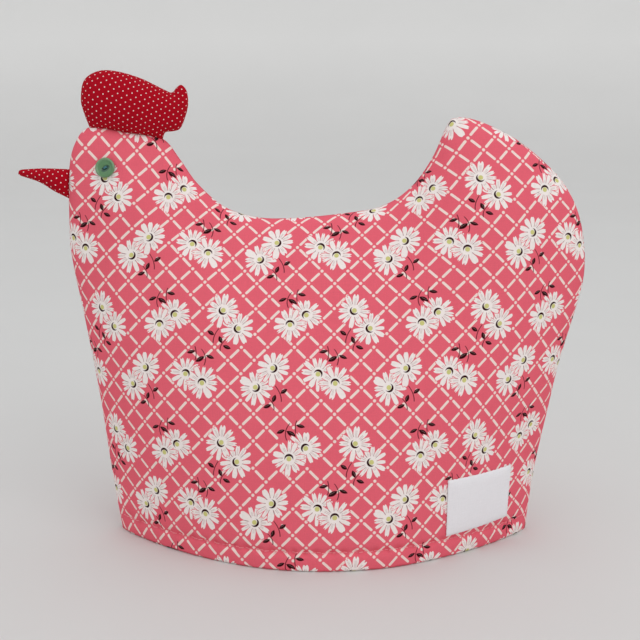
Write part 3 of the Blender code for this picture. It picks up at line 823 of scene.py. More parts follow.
@cache
def print_group():
    """The whole print, as masks, at a place in diamond widths."""
    daisy_parts = ["Clear", "Petals", "Veins", "Spot", "Crescent"]
    sprig_parts = ["Leaves", "Stems", "Shine"]
    tree, at = start_group("daisy_print", ["X", "Y"], ["Trellis", *sprig_parts, *daisy_parts,
                                                       *("Top " + part for part in daisy_parts)])
    first, second = ([((at["X"] - fx).wrapped(REPEAT), (at["Y"] - fy).wrapped(REPEAT), turn)
                      for fx, fy, turn in flowers] for flowers in (FIRST_DAISIES, SECOND_DAISIES))
    fx, fy, fturn = nearest(first)
    sx, sy, sturn = nearest(second)
    places = {"X": at["X"], "Y": at["Y"], "First X": fx, "First Y": fy, "Second X": sx, "Second Y": sy}
    for n, aside, up, _ in OTHER_BLANKS:
        places[f"Blank {n} X"] = first[n][0] - aside
        places[f"Blank {n} Y"] = first[n][1] - up
    lines = use_group(tree, trellis_group(), **places)
    top = use_group(tree, daisy_group(), X=fx, Y=fy, Turn=fturn)
    under = use_group(tree, daisy_group(), X=sx, Y=sy, Turn=sturn)
    seen = square(sx, sy).above(UNDER_CORE ** 2)
    low = use_group(tree, sprig_group("low_sprig", LOW_LEAVES, LOW_STEMS),
                    **closer_sprig(first[2], first[0], LOW_MIDDLE))
    high = use_group(tree, sprig_group("high_sprig", HIGH_LEAVES, HIGH_STEMS),
                     **closer_sprig(first[1], first[3], HIGH_MIDDLE))
    masks = {part: low[part].high(high[part]) for part in sprig_parts} | under
    for part in daisy_parts:
        masks["Top " + part] = top[part] * seen if part in ("Clear", "Petals") else top[part]
    end_group(tree, Trellis=lines["Mask"], **masks)
    return tree


@cache
def weave_group():
    """Plain weave at a place in millimetres: its height, and a shade that varies from thread to thread."""
    tree, at = start_group("plain_weave", ["X", "Y", "Thread"], ["Height", "Shade"], 1.0)
    x, y = at["X"] / at["Thread"], at["Y"] / at["Thread"]
    over = ((x + 0.5).floor() + (y + 0.5).floor()).math("MODULO", 2.0).abs()
    warp, weft = (x * math.pi).cos().abs(), (y * math.pi).cos().abs()
    height = (warp * (weft * 0.35 + 0.65)).pick(weft * (warp * 0.35 + 0.65), over)
    streaks = noise(tree, joined(tree, at["X"] * 2.2, at["Y"] * 0.15), 1.0)
    cross = noise(tree, joined(tree, at["X"] * 0.15, at["Y"] * 2.2, 7.0), 1.0)
    end_group(tree, Height=height, Shade=(streaks + cross) * 0.5)
    return tree


@cache
def pin_dot_group():
    """Staggered round dots at a place in millimetres."""
    tree, at = start_group("pin_dots", ["X", "Y", "Across", "Up", "Radius"], ["Mask"], 1.0)
    x, y = at["X"] / at["Across"], at["Y"] / at["Up"]
    dots = [(at["Radius"] - span((x + shift).near() * at["Across"], (y + shift).near() * at["Up"])).edge(0.12)
            for shift in (0.0, 0.5)]
    end_group(tree, Mask=highest(dots))
    return tree


def start_material(name, roughness, sheen=0.0, gloss=0.5):
    """A new material with its shader and constant values."""
    material = bpy.data.materials.new(name)
    material.use_nodes = True
    tree = material.node_tree
    shader = tree.nodes["Principled BSDF"]
    for label, value in (("Roughness", roughness), ("Specular IOR Level", gloss), ("Sheen Weight", sheen),
                         ("Sheen Roughness", 0.5)):
        shader.inputs[label].default_value = value
    return material, tree, shader


def cut_place(tree):
    """Place on the cloth's cut in millimetres."""
    node = tree.nodes.new("ShaderNodeUVMap")
    node.uv_map = "cut"
    x, y, _ = split(tree, node.outputs[0])
    return x * 1000.0, y * 1000.0


def body_place(tree):
    """Place in the object's own frame in millimetres."""
    node = tree.nodes.new("ShaderNodeTexCoord")
    return tuple(c * 1000.0 for c in split(tree, node.outputs["Object"]))


def lay_colour(tree, shader, face, tone):
    """Feed a colour, made lighter and darker by a tone, in the shader's base."""
    face = blend(tree, 1.0, face, joined(tree, tone, tone, tone), "MULTIPLY")
    tree.links.new(face.socket, shader.inputs["Base Color"])


def raise_bump(tree, shader, height, depth, strength):
    """Feed a height in the shader's normal; the depth is in millimetres."""
    node = tree.nodes.new("ShaderNodeBump")
    feed(tree, [node.inputs[label] for label in ("Strength", "Distance", "Height")],
         (strength, depth * MM, height))
    tree.links.new(node.outputs[0], shader.inputs["Normal"])


def finish_cloth(tree, shader, face, x, y, thread, shade, fuzz, fuzz_shade, bump=(0.4, 0.06, 0.8)):
    """Give a cloth its weave and fuzz: they vary its colour and stand up. Returns the fuzz."""
    weave = use_group(tree, weave_group(), X=x, Y=y, Thread=thread)
    speck = noise(tree, joined(tree, x, y), *fuzz, 0.6)
    lay_colour(tree, shader, face, (weave["Shade"] - 0.5) * shade + (speck - 0.5) * fuzz_shade + 1.0)
    share, depth, strength = bump
    raise_bump(tree, shader, weave["Height"] + speck * share, depth, strength)
    return speck


def printed_cotton(name, start, reverse=False):
    """The daisy print, or its pale reverse, on the cloth's cut."""
    look = bpy.context.scene.cosy_print
    material, tree, shader = start_material(name, 0.86, 0.0, 0.05)
    x, y = cut_place(tree)
    shift = (noise(tree, joined(tree, x * 0.05, y * 0.05), 1.0) - 0.5) * 0.5
    px, py = turned(x - start[0] + shift, y - start[1] - shift, look.turn)
    mask = use_group(tree, print_group(), X=px / look.width, Y=py / look.height)
    layers = [(mask["Trellis"], look.trellis), (mask["Stems"], STEM_INK), (mask["Leaves"], look.leaf),
              (mask["Shine"] * 0.4, LEAF_SHINE)]
    for top in ("", "Top "):
        petals = mask[top + "Petals"]
        layers += [(mask[top + "Clear"], look.ground), (petals, look.petal),
                   (mask[top + "Veins"] * petals, look.vein), (mask[top + "Spot"], look.spot),
                   (mask[top + "Crescent"], look.leaf)]
    if reverse:
        layers.append((0.62, REVERSE_TINT))
    face = look.ground
    for share, ink in layers:
        face = blend(tree, share, face, ink)
    speck = finish_cloth(tree, shader, face, x, y, 0.42, 0.22, (1.4, 3.0), 0.16)
    rough = (speck - 0.5) * 0.12 + 0.86
    tree.links.new(rough.socket, shader.inputs["Roughness"])
    return material


@cache
def red_cotton():
    """Red cotton with white pin dots."""
    look = bpy.context.scene.cosy_trim
    material, tree, shader = start_material("red_spotted_cotton", 0.82, 0.01, 0.04)
    x, y = cut_place(tree)
    px, py = turned(x, y, look.spot_turn)
    dots = use_group(tree, pin_dot_group(), X=px, Y=py, Across=look.spot_across, Up=look.spot_up,
                     Radius=look.spot_radius)
    face = blend(tree, dots["Mask"], look.red, look.spot)
    finish_cloth(tree, shader, face, x, y, 0.40, 0.3, (1.6, 3.0), 0.2)
    return material


@cache
def white_tape():
    """White cotton tape with a fine crosswise rib."""
    material, tree, shader = start_material("label_tape", 0.9, 0.05, 0.2)
    x, y = cut_place(tree)
    tape = bpy.context.scene.cosy_trim.tape
    finish_cloth(tree, shader, tape, x, y, 0.34, 0.14, (0.9, 4.0), 0.08, (0.8, 0.07, 0.7))
    return material


@cache
def sewing_thread(name, base):
    """Twisted thread in one colour, banded with painted shade along its twist."""
    material, tree, shader = start_material(name, 0.6, 0.05, 0.25)
    x, y, z = body_place(tree)
    twist_and_shade = ((x + z) * 9.0 + y * 6.0).sin()
    fleck = noise(tree, joined(tree, x, y, z), 3.0)
    # The twist bands the colour lighter and darker: painted shade of the grooves between the plies, over
    # random flecks
    lay_colour(tree, shader, base, twist_and_shade * 0.10 + (fleck - 0.5) * 0.3 + 1.0)
    raise_bump(tree, shader, twist_and_shade, 0.05, 0.6)
    return material


@cache
def button_plastic():
    """Glossy moss-green button with soft mottling, a paler rim that is a painted highlight, and painted shade
    in its hollow.
    """
    material, tree, shader = start_material("green_button", 0.18)
    shader.inputs["Coat Weight"].default_value = 0.35
    shader.inputs["Coat Roughness"].default_value = 0.08
    x, y, z = body_place(tree)
    cloud = noise(tree, joined(tree, x, y * 0.3, z), 0.35, 3.0)
    fine = noise(tree, joined(tree, x, y, z), 2.4, 2.0)
    dx, dz = x - EYE_X, z - EYE_Z
    # Painted highlight: the rim is painted paler all round
    rim = (span(dx, dz) - RIM_HIGHLIGHT_START).edge(0.8)
    # Painted shade: the lens-shaped hollow is painted dark
    along, across = turned(dx, dz, BUTTON_TILT)
    lens = (1.0 - square(along / HOLLOW_SHADE_HALVES[0], across / HOLLOW_SHADE_HALVES[1])).edge(0.3)
    face = bpy.context.scene.cosy_trim.button
    for share, shade in (((cloud - 0.35).edge(0.6), BUTTON_CLOUD), (rim * 0.4, BUTTON_RIM_HIGHLIGHT),
                         (lens * 0.8, BUTTON_HOLLOW_SHADE)):
        face = blend(tree, share, face, shade)
    tree.links.new(face.socket, shader.inputs["Base Color"])
    rough = (fine - 0.5) * 0.1 + 0.18
    tree.links.new(rough.socket, shader.inputs["Roughness"])
    raise_bump(tree, shader, fine, 0.03, 0.3)
    return material


@cache
def pale_floor():
    """Plain pale matt floor, painted a little lighter where it rises behind: painted light on the backdrop.
    """
    material, tree, shader = start_material("pale_floor", 0.75)
    x, y, z = body_place(tree)
    cloud = noise(tree, joined(tree, x, y, z), 0.006, 3.0)
    # Painted light: the backdrop is painted lighter the higher it rises
    rise = z.math("MULTIPLY", 1.0 / 250.0, clamp=True)
    lay_colour(tree, shader, bpy.context.scene.cosy_stage.floor, (cloud - 0.5) * 0.05 + 1.0 + rise * 0.2)
    return material


@cache
def panel_cut():
    """A panel's edge line, flat points, triangles, film heights and the counts of its edge and its loop."""
    sizes = bpy.context.scene.cosy_panels
    grain = sizes.grain
    edge = smooth_line(SEAM, grain)
    dense = smooth_line(SEAM, 0.4 * grain)
    count = round(2.2 * HEM_HALF / grain)
    hem = HEM_MIDDLE + HEM_HALF * np.cos(np.linspace(0.0, math.pi, count + 1)[1:-1])
    loop = np.vstack([edge, np.column_stack([hem, np.zeros(len(hem))])])
    points = []
    for depth in SEAM_RINGS:
        ring = dense + rightward(np.gradient(dense, axis=0)) * depth
        ring = even_points(ring[distance_to(dense, ring)[0] > 0.985 * depth], grain)
        points.append(ring[ring[:, 1] > HEM_ROWS[-1] + 0.7])
    rows = [(x, z) for z in HEM_ROWS for x in np.linspace(HEM_LEFT, HEM_RIGHT, count)]
    points.append(kept_inside(loop, dense, 0.7, rows))
    wide = staggered_grid(loop, grain, HEM_ROWS[-1] + 0.8 * grain)
    wide = kept_inside(loop, dense, SEAM_RINGS[-1] + 0.75 * grain, wide)
    points.append(wide[np.abs(wide[:, 1] - sizes.stitch_up) > STITCH_ROWS[-1] + 1.0])
    band = [(x, sizes.stitch_up + up) for up in STITCH_ROWS
            for x in np.linspace(HEM_LEFT, HEM_RIGHT, 2 * count)]
    points.append(kept_inside(loop, dense, SEAM_RINGS[-1] + 0.6, band))
    flat, tri = triangulate(loop, points)
    share = np.clip((2.0 * flat[:len(loop), 0] - HEM_LEFT - HEM_RIGHT) / (HEM_RIGHT - HEM_LEFT), -1.0, 1.0)
    values = (HEM_HALF_DEPTH - sizes.roll_height) * (1.0 - share ** 2)
    values[:len(edge)] = 0.0
    height = film(flat, tri, values, FULLNESS, UPRIGHT_STIFFNESS)
    return dense, flat, tri, height, len(edge), len(loop)


def hollows(flat):
    """How far the creases pull the face in at each place."""
    total = np.zeros(len(flat))
    for x, z, long, wide, lean, depth in CREASES:
        along, across = turned(flat[:, 0] - x, flat[:, 1] - z, math.radians(lean))
        total += depth * np.exp(-(along / long) ** 2 - (across / wide) ** 2)
    return total


def hem_fold(up, radius):
    """How far the folded bottom edge draws in at each height."""
    bend = np.clip(1.0 - up / radius, 0.0, 1.0)
    return radius * (1.0 - np.sqrt(1.0 - bend ** 2))


def panel_face(side):
    """Outer height of one panel at the points of its cut."""
    sizes = bpy.context.scene.cosy_panels
    dense, flat, _, height, _, _ = panel_cut()
    x, z = flat.T
    depth, along = distance_to(dense, flat)
    inwards = np.clip(depth / FOLD_FADE, 0.0, 1.0)
    seed = 11 if side == FRONT else 23
    height = height + sizes.roll_height * swell(depth, sizes.roll_width)
    pull = hollows(flat) * np.clip(depth / CREASE_FADE, 0.0, 1.0)
    trough = np.exp(-((z - sizes.stitch_up) / sizes.stitch_dip_width) ** 2)
    uneven = 1.0 + 0.5 * np.sin(x * TAU / HEM_WAVE + 2.0 * soft_noise(x / 9.0, 0.0 * depth, seed))
    pull += sizes.stitch_dip * trough * uneven * inwards
    wave = np.sin(along * TAU / SEAM_WAVE + 2.5 * soft_noise(along / 11.0, 0.0 * along, seed + 1))
    pull += sizes.pucker * wave * np.exp(-depth / 7.0) * swell(depth, 3.0)
    pull -= 0.35 * soft_noise(x / 13.0, z / 17.0, seed + 2) * np.clip(depth / 12.0, 0.0, 1.0)
    return np.maximum(height - pull - hem_fold(z, sizes.hem_round) * inwards, 0.0) + SEAM_GAP


def slopes(points, tri):
    """Outward normal at each point of a sheet."""
    face = crosses(points, tri)
    total = np.zeros_like(points)
    for k in range(3):
        for axis in range(3):
            total[:, axis] += np.bincount(tri[:, k], face[:, axis], len(points))
    return total / np.linalg.norm(total, axis=1)[:, None]


SURFACES = {}               # the outer faces, for whatever is sewn on them


def pulled_print(cut):
    """Where the print lies on the front's cut once the sewn cloth has pulled it."""
    away = (cut[:, 0] - TAPER_MIDDLE[0]) * (cut[:, 1] - TAPER_MIDDLE[1]) / 1000.0
    moved = cut + away[:, None] * np.array(PRINT_TAPER)
    for x, y, reach, shift_x, shift_y in PRINT_PULLS:
        share = np.exp(-((cut[:, 0] - x) ** 2 + (cut[:, 1] - y) ** 2) / reach ** 2)
        moved += share[:, None] * np.array((shift_x, shift_y))
    return moved


def make_panel(name, side, start, node):
    """One padded panel of printed cloth: outer face, hem fold and inner face. Also its cut and area."""
    sizes = bpy.context.scene.cosy_panels
    _, flat, tri, _, edge, loop = panel_cut()
    face = panel_face(side)
    outer = np.column_stack([flat[:, 0], side * face, flat[:, 1]])
    if side == BACK:
        tri = tri[:, ::-1]
    steep = np.clip(1.0 / np.maximum(np.abs(slopes(outer, tri)[:, 1]), 0.3), 1.0, 2.2)
    thick = (sizes.thickness - 2.0 * hem_fold(flat[:, 1], sizes.hem_round)) * steep
    inner = outer.copy()
    inner[:, 1] = side * np.maximum(face - thick, np.minimum(0.12, 0.5 * face))
    rename = np.arange(len(flat)) + len(flat) - edge
    rename[:edge] = np.arange(edge)
    bottom = [edge - 1] + list(range(edge, loop)) + [0]
    strip = []
    for i, j in zip(bottom[:-1], bottom[1:]):
        ring = list(dict.fromkeys([j, i, rename[i], rename[j]]))
        strip.append(ring if side == FRONT else ring[::-1])
    panel = new_object(name, np.vstack([outer, inner[edge:]]),
                       tri.tolist() + rename[tri[:, ::-1]].tolist() + strip)
    face_outwards(panel)
    cut = lay_flat(outer, tri, mirrored=side == BACK)
    place = pulled_print(cut) if side == FRONT else cut
    write_map(panel, np.vstack([place, place[edge:]]))
    finish_piece(panel, "printed_cotton", printed_cotton(name + "_print", start),
                 printed_cotton(name + "_reverse", start, True), node=node)
    layer = np.zeros(len(panel.data.polygons), np.int32)
    layer[len(tri):2 * len(tri)] = 1
    panel.data.polygons.foreach_set("material_index", layer)
    SURFACES[side] = BVHTree.FromPolygons(outer.tolist(), tri.tolist())
    area = 0.5 * np.linalg.norm(crosses(outer, tri), axis=1).sum() * MM ** 2
    width, tall = (cut.max(0) - cut.min(0)) * MM
    return panel, (width, tall), area


def on_panel(side, x, z):
    """Place on a panel's outer face and its outward direction."""
    place, normal, _, _ = SURFACES[side].ray_cast(Vector((x, side * 400.0, z)), Vector((0.0, -side, 0.0)))
    if place is None:
        raise RuntimeError(f"the panel has no cloth at {x:.1f}, {z:.1f}")
    return np.array(place), np.array(normal if normal.y * side > 0 else -normal)


def round_about(side, x, z, reach):
    """Place on a panel and the average direction of the cloth round it."""
    right, left = on_panel(side, x + reach, z)[0], on_panel(side, x - reach, z)[0]
    up, down = on_panel(side, x, z + reach)[0], on_panel(side, x, max(z - reach, 0.1))[0]
    out = np.cross(right - left, up - down)
    out /= np.linalg.norm(out)
    return on_panel(side, x, z)[0], out if out[1] * side > 0 else -out


class COSY_OT_panels(bpy.types.Operator):
    """Cut, pad and sew the two printed panels"""
    bl_idname = "cosy.panels"
    bl_label = "Printed panels"

    def execute(self, context):
        look = context.scene.cosy_print
        for name, side, start, node in (("front_panel_cloth", FRONT, look.start, "front_panel"),
                                        ("back_panel_cloth", BACK, look.back_start, "back_panel")):
            panel, cut, area = make_panel(name, side, start, node)
        return {"FINISHED"}


def seam_stretch(start, end):
    """The seam's own line between two of its places, moved in by the depth of a root."""
    line = smooth_line(SEAM, 1.0)
    first, last = (int(np.argmin(np.linalg.norm(line - place, axis=1))) for place in (start, end))
    sunk = line + rightward(np.gradient(line, axis=0)) * ROOT_DEPTH
    return sunk[first:last + 1]


def make_stuffed(name, root, outline, half_thick, root_share, step, node):
    """A stuffed shape of two cloths sewn round its edge, whose root goes into the panels' seam."""
    outline = smooth_line([root[-1], *outline, root[0]], step)[1:-1]
    root = even_points(root, step)
    loop = np.vstack([root, outline])
    count = len(loop)
    ring_line = np.vstack([loop, loop[:1]])
    normal = rightward(np.roll(loop, -1, axis=0) - np.roll(loop, 1, axis=0))
    if not inside(loop, loop[:1] + 0.2 * normal[:1])[0]:
        normal = -normal
    points = [kept_inside(loop, ring_line, 0.97 * ring * step, loop + normal * (ring * step))
              for ring in STUFFED_RINGS]
    points.append(kept_inside(loop, ring_line, 2.5 * step, staggered_grid(loop, step, loop[:, 1].min())))
    flat, tri = triangulate(loop, points)
    bulge = film(flat, tri, np.zeros(count), 1.0)
    opened = np.zeros(count)
    opened[1:len(root) - 1] = 1.0
    spread = np.clip(film(flat, tri, opened, 0.0), 0.0, 1.0)
    height = half_thick * np.sqrt(np.clip(bulge / bulge.max(), 0.0, None) + root_share ** 2 * spread)
    depth, along = distance_to(np.vstack([root[-1:], outline, root[:1]]), flat)
    gather = np.sin(along * TAU / STUFFED_WAVE + 2.2 * soft_noise(along / 6.0, 0.0 * along, 5))
    height *= 1.0 + 0.07 * gather * np.exp(-depth / 3.0)
    height += 0.25 * soft_noise(flat[:, 0] / 5.0, flat[:, 1] / 5.0, 6) * np.clip(depth / 5.0, 0.0, 1.0)
    height[count:] = np.maximum(height[count:], 0.05)
    front = np.column_stack([flat[:, 0], -height, flat[:, 1]])
    cut = lay_flat(front, tri)
    closed = height <= 1e-6
    rename = np.cumsum(~closed) - 1 + len(flat)
    rename[closed] = np.flatnonzero(closed)
    faces = tri.tolist() + rename[tri[:, ::-1]].tolist()
    for i in range(len(root) - 1):
        faces.append(list(dict.fromkeys([i, i + 1, int(rename[i + 1]), int(rename[i])])))
    piece = new_object(name, np.vstack([front, front[~closed] * (1.0, -1.0, 1.0)]),
                       [f for f in faces if len(f) > 2])
    face_outwards(piece)
    write_map(piece, np.vstack([cut, cut[~closed] + SECOND_CUT]))
    finish_piece(piece, "red_spotted_cotton", red_cotton(), node=node)


class COSY_OT_comb_and_beak(bpy.types.Operator):
    """Stuff the comb and the beak and set them in the seam"""
    bl_idname = "cosy.comb_and_beak"
    bl_label = "Comb and beak"

    def execute(self, context):
        look = context.scene.cosy_trim
        make_stuffed("comb_stuffed", seam_stretch(COMB_FRONT, COMB_BACK), COMB_TOP[::-1],
                     look.comb_half_thick, COMB_ROOT_SHARE, 1.0, "comb")
        make_stuffed("beak_stuffed", seam_stretch(BEAK_ROOT_LOW, BEAK_ROOT_TOP), BEAK_EDGE,
                     look.beak_half_thick, BEAK_ROOT_SHARE, 0.7, "beak")
        return {"FINISHED"}


def turned_shape(name, rings, vertices):
    """A disc in metres whose rings are extruded one from the other, left in edit mode at the last ring."""
    made = primitive(name, bpy.ops.mesh.primitive_circle_add, vertices=vertices, radius=rings[0][0],
                     fill_type="NGON")
    edit_all()
    for (last_radius, last_height), (radius, height) in zip(rings, rings[1:]):
        bpy.ops.mesh.extrude_region_move(TRANSFORM_OT_translate={"value": (0.0, 0.0, height - last_height)})
        share = radius / last_radius
        bpy.ops.transform.resize(value=(share, share, 1.0))
    return made


def apply_modifier(obj, kind, **settings):
    """Add a modifier with its settings and apply it."""
    choose(obj)
    modifier = obj.modifiers.new(kind.lower(), kind)
    for key, value in settings.items():
        setattr(modifier, key, value)
    bpy.ops.object.modifier_apply(modifier=modifier.name)


def cut_away(obj, tool):
    """Take the tool's shape out of the object and drop the tool."""
    apply_modifier(obj, "BOOLEAN", operation="DIFFERENCE", solver="EXACT", object=tool)
    bpy.data.objects.remove(tool, do_unlink=True)


def turn_button(name, radius):
    """A turned button with its hollow and its holes, back down at the origin."""
    button = turned_shape(name, [(share * radius * MM, up * MM) for share, up in BUTTON_PROFILE], 56)
    bpy.ops.mesh.select_all(action="SELECT")
    bpy.ops.mesh.normals_make_consistent(inside=False)
    bpy.ops.object.mode_set(mode="OBJECT")
    tilt = Matrix.Rotation(BUTTON_TILT, 4, "Z")
    hollow = primitive("hollow", bpy.ops.mesh.primitive_uv_sphere_add, segments=40, ring_count=20, radius=MM)
    hollow.data.transform(Matrix.Translation((0.0, 0.0, HOLLOW_UP * MM)) @ tilt
                          @ Matrix.Diagonal((*HOLLOW_HALVES, 1.0)))
    cut_away(button, hollow)
    for way in (-1, 1):
        hole = primitive("hole", bpy.ops.mesh.primitive_cylinder_add, vertices=20, radius=HOLE_RADIUS * MM,
                         depth=8.0 * MM)
        hole.data.transform(Matrix.Translation(tilt @ Vector((way * HOLE_ASIDE * MM, 0.0, 0.0))))
        cut_away(button, hole)
    apply_modifier(button, "BEVEL", width=0.08 * MM, segments=2, limit_method="ANGLE",
                   angle_limit=math.radians(40.0))
    bpy.ops.object.shade_smooth_by_angle(angle=math.radians(35.0))
    return button


def tie_thread(name):
    """Two loops of thread through the button's holes, side by side."""
    loops = [primitive(name, bpy.ops.mesh.primitive_torus_add, major_segments=24, minor_segments=8,
                       major_radius=HOLE_ASIDE * MM, minor_radius=THREAD_RADIUS * MM,
                       location=(0.0, aside * MM, THREAD_UP * MM), rotation=(math.radians(90.0), 0.0, 0.0))
             for aside in (-THREAD_RADIUS, THREAD_RADIUS)]
    choose(*loops)
    bpy.ops.object.join()
    bpy.ops.object.transform_apply(location=True, rotation=True, scale=True)
    thread = bpy.context.active_object
    thread.data.transform(Matrix.Rotation(BUTTON_TILT, 4, "Z"))
    thread.data.transform(Matrix.Diagonal((1.0, 1.0, THREAD_PRESS, 1.0)))
    thread.data.shade_smooth()
    return thread


class COSY_OT_eye_buttons(bpy.types.Operator):
    """Turn the two eye buttons and sew them on"""
    bl_idname = "cosy.eye_buttons"
    bl_label = "Eye buttons"

    def execute(self, context):
        look = context.scene.cosy_trim
        for side, name in ((FRONT, "front"), (BACK, "back")):
            button = turn_button(f"eye_button_{name}_turned", look.button_radius)
            thread = tie_thread(f"eye_thread_{name}")
            place, out = round_about(side, EYE_X, EYE_Z, 5.0)
            turn = Vector(out).to_track_quat("Z", "Y").to_matrix().to_4x4()
            for piece in (button, thread):
                piece.data.transform(Matrix.Translation(Vector(place + out * BUTTON_STAND_OFF) * MM) @ turn)
            finish_piece(button, "green_button", button_plastic(), node=f"eye_button_{name}")
            finish_piece(thread, "green_button", sewing_thread("eye_thread", tuple(look.eye_thread)))
        return {"FINISHED"}


def frayed(along, waves, rim, share):
    """How far a cut edge of the tab strays, close to its rim."""
    first, second, phase = waves
    stray = math.sin(along * TAU / first) + math.sin(along * TAU / second + phase)
    return FRAY * stray * math.exp(-(rim / 0.6) ** 2) * (1.0 if share > 0.5 else -1.0)


class COSY_OT_tape_tab(bpy.types.Operator):
    """Sew the bare tape tab on the front panel"""
    bl_idname = "cosy.tape_tab"
    bl_label = "Tape tab"

    def execute(self, context):
        corners = np.array(LABEL_CORNERS)
        under, top, cut = [], [], []
        for s, t in [(i / LABEL_ACROSS, j / LABEL_UP) for j in range(LABEL_UP + 1)
                     for i in range(LABEL_ACROSS + 1)]:
            low = corners[0] * (1 - s) + corners[1] * s
            high = corners[3] * (1 - s) + corners[2] * s
            x, z = low * (1 - t) + high * t
            rim_x, rim_z = min(s, 1 - s) * LABEL_SEEN[0], min(t, 1 - t) * LABEL_SEEN[1]
            x += frayed(z, (1.9, 2.7, 1.0), rim_x, s)
            z += frayed(x, (2.1, 2.9, 2.0), rim_z, t)
            place, out = round_about(FRONT, x, z, 4.0)
            rim = min(rim_x, rim_z)
            lift = LABEL_LIFT + LABEL_PUFF * (1.0 - math.exp(-(rim / 2.5) ** 2))
            lift += 0.10 * float(soft_noise(x / 4.0, z / 4.0, 31)) * min(rim / 4.0, 1.0)
            thick = LABEL_RIM_THICK + LABEL_SWELL * (1.0 - math.exp(-(rim / 0.5) ** 2))
            under.append(place + out * lift)
            top.append(place + out * (lift + thick))
            cut.append((s * LABEL_CUT[0], t * LABEL_CUT[1]))
        row, sheet = LABEL_ACROSS + 1, len(under)
        faces = []
        for a in (j * row + i for j in range(LABEL_UP) for i in range(LABEL_ACROSS)):
            faces.append((a + row, a + row + 1, a + 1, a))
            faces.append((a + sheet, a + 1 + sheet, a + row + 1 + sheet, a + row + sheet))
        number = np.arange(sheet).reshape(-1, row)
        rim = [*number[0, :-1], *number[:-1, -1], *number[-1, :0:-1], *number[:0:-1, 0]]
        faces += [(a, b, b + sheet, a + sheet) for a, b in zip(rim, rim[1:] + rim[:1])]
        tab = new_object("tape_tab", under + top, faces)
        face_outwards(tab)
        write_map(tab, np.array(cut + cut))
        finish_piece(tab, "label_tape", white_tape(), node="label")
        return {"FINISHED"}


def lay_stitches(name, line, directions, look, material):
    """One rounded stitch, copied along a line of places on the cloth."""
    stitch = primitive(name, bpy.ops.mesh.primitive_uv_sphere_add, segments=8, ring_count=6,
                       radius=look.stitch_thick * MM)
    half = 0.5 * look.stitch_long - look.stitch_thick
    for vertex in stitch.data.vertices:
        vertex.co.z += half * MM * (1 if vertex.co.z > 1e-9 else -1)
    copies = []
    for place, run, out in zip(line[:-1], np.diff(line, axis=0), directions):
        run = run / np.linalg.norm(run)
        side = np.cross(out, run)
        side /= np.linalg.norm(side)
        turn = Matrix(np.column_stack([side, np.cross(run, side), run])).to_4x4()
        copy = stitch.copy()
        copy.data = stitch.data.copy()
        copy.data.transform(Matrix.Translation(Vector(place) * MM) @ turn)
        bpy.context.scene.collection.objects.link(copy)
        copies.append(copy)
    bpy.data.objects.remove(stitch, do_unlink=True)
    choose(*copies)
    bpy.ops.object.join()
    row = bpy.context.active_object
    row.name = name
    row.data.shade_smooth()
    finish_piece(row, "printed_cotton", material)


class COSY_OT_hem_stitches(bpy.types.Operator):
    """Topstitch the hem all round"""
    bl_idname = "cosy.hem_stitches"
    bl_label = "Hem stitching"

    def execute(self, context):
        look = context.scene.cosy_trim
        up = context.scene.cosy_panels.stitch_up
        thread = sewing_thread("pink_thread", tuple(context.scene.cosy_print.thread))
        for side, name in ((FRONT, "hem_stitches_front"), (BACK, "hem_stitches_back")):
            across = np.linspace(HEM_LEFT + STITCH_ENDS[0], HEM_RIGHT - STITCH_ENDS[1], 500)
            line = even_points(np.array([on_panel(side, x, up)[0] for x in across]), look.stitch_pitch)
            out = np.array([on_panel(side, place[0], up)[1] for place in line])
            lay_stitches(name, line + out * STITCH_LIFT, out, look, thread)
        return {"FINISHED"}


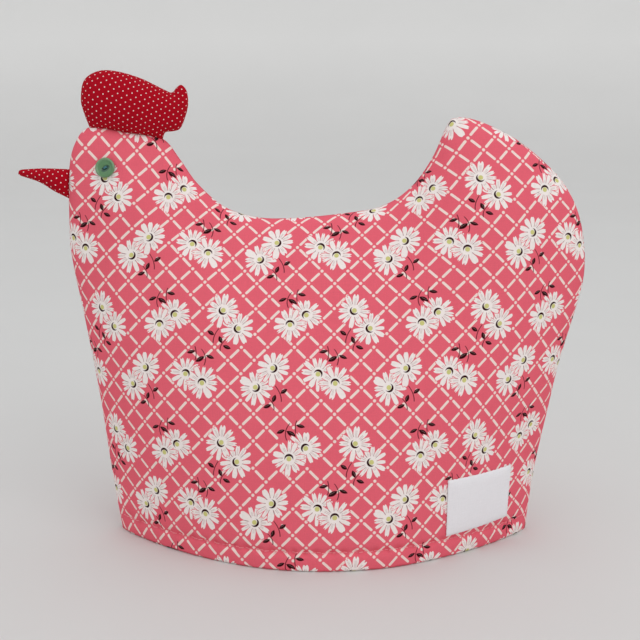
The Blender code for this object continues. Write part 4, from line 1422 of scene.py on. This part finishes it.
class COSY_OT_stage(bpy.types.Operator):
    """Lay the floor, set the lights and aim the camera"""
    bl_idname = "cosy.stage"
    bl_label = "Floor, light and camera"

    def execute(self, context):
        look = context.scene.cosy_stage
        scene = context.scene
        floor = turned_shape("pale_stage", STAGE_RINGS, 96)
        bpy.ops.mesh.delete(type="ONLY_FACE")
        bpy.ops.mesh.select_all(action="SELECT")
        bpy.ops.mesh.normals_make_consistent(inside=True)
        bpy.ops.object.mode_set(mode="OBJECT")
        floor.data.shade_smooth()
        floor.data.materials.append(pale_floor())
        scene.view_settings.view_transform = "Standard"
        world = bpy.data.worlds.new("room")
        world.use_nodes = True
        world.node_tree.nodes["Background"].inputs[0].default_value = ROOM_COLOUR
        world.node_tree.nodes["Background"].inputs[1].default_value = look.room
        scene.world = world
        for (name, place, wide), power in zip(LIGHTS, (look.key_power, look.fill_power)):
            data = bpy.data.lights.new(name, "AREA")
            data.size = wide
            data.energy = power
            light = bpy.data.objects.new(name, data)
            light.location = place
            light.rotation_euler = (LIT_POINT - Vector(place)).to_track_quat("-Z", "Y").to_euler()
            scene.collection.objects.link(light)
        data = bpy.data.cameras.new("camera")
        data.lens = look.lens
        data.sensor_width = 36.0
        data.clip_start = 0.01
        camera = bpy.data.objects.new("camera", data)
        aim = Vector(look.aim)
        way = Vector((0.0, -math.cos(look.elevation), math.sin(look.elevation)))
        camera.location = aim + way * look.distance
        camera.rotation_euler = (-way).to_track_quat("-Z", "Y").to_euler()
        scene.collection.objects.link(camera)
        scene.camera = camera
        return {"FINISHED"}


STEPS = (COSY_OT_stage, COSY_OT_panels, COSY_OT_comb_and_beak, COSY_OT_eye_buttons, COSY_OT_tape_tab,
         COSY_OT_hem_stitches)
GROUPS = {"cosy_panels": CosyPanelSizes, "cosy_print": CosyPrintLook, "cosy_trim": CosyTrimLook,
          "cosy_stage": CosyStageLook}


class COSY_PT_sidebar(bpy.types.Panel):
    """Steps and sizes of the tea cosy"""
    bl_label = "Tea Cosy"
    bl_idname = "COSY_PT_sidebar"
    bl_space_type = "VIEW_3D"
    bl_region_type = "UI"
    bl_category = "Tea Cosy"

    def draw(self, context):
        for step in STEPS:
            self.layout.operator(step.bl_idname)
        for label in GROUPS:
            box = self.layout.box()
            group = getattr(context.scene, label)
            for key in group.bl_rna.properties.keys():
                if key not in ("rna_type", "name"):
                    box.prop(group, key)


def register():
    for label, group in GROUPS.items():
        bpy.utils.register_class(group)
        setattr(bpy.types.Scene, label, PointerProperty(type=group))
    for cls in (*STEPS, COSY_PT_sidebar):
        bpy.utils.register_class(cls)


def unregister():
    for cls in (COSY_PT_sidebar, *reversed(STEPS)):
        bpy.utils.unregister_class(cls)
    for label, group in GROUPS.items():
        delattr(bpy.types.Scene, label)
        bpy.utils.unregister_class(group)


def main():
    """Register the add-on and make every piece in order."""
    register()
    for step in STEPS:
        family, name = step.bl_idname.split(".")
        getattr(getattr(bpy.ops, family), name)()


if __name__ == "__main__":
    main()
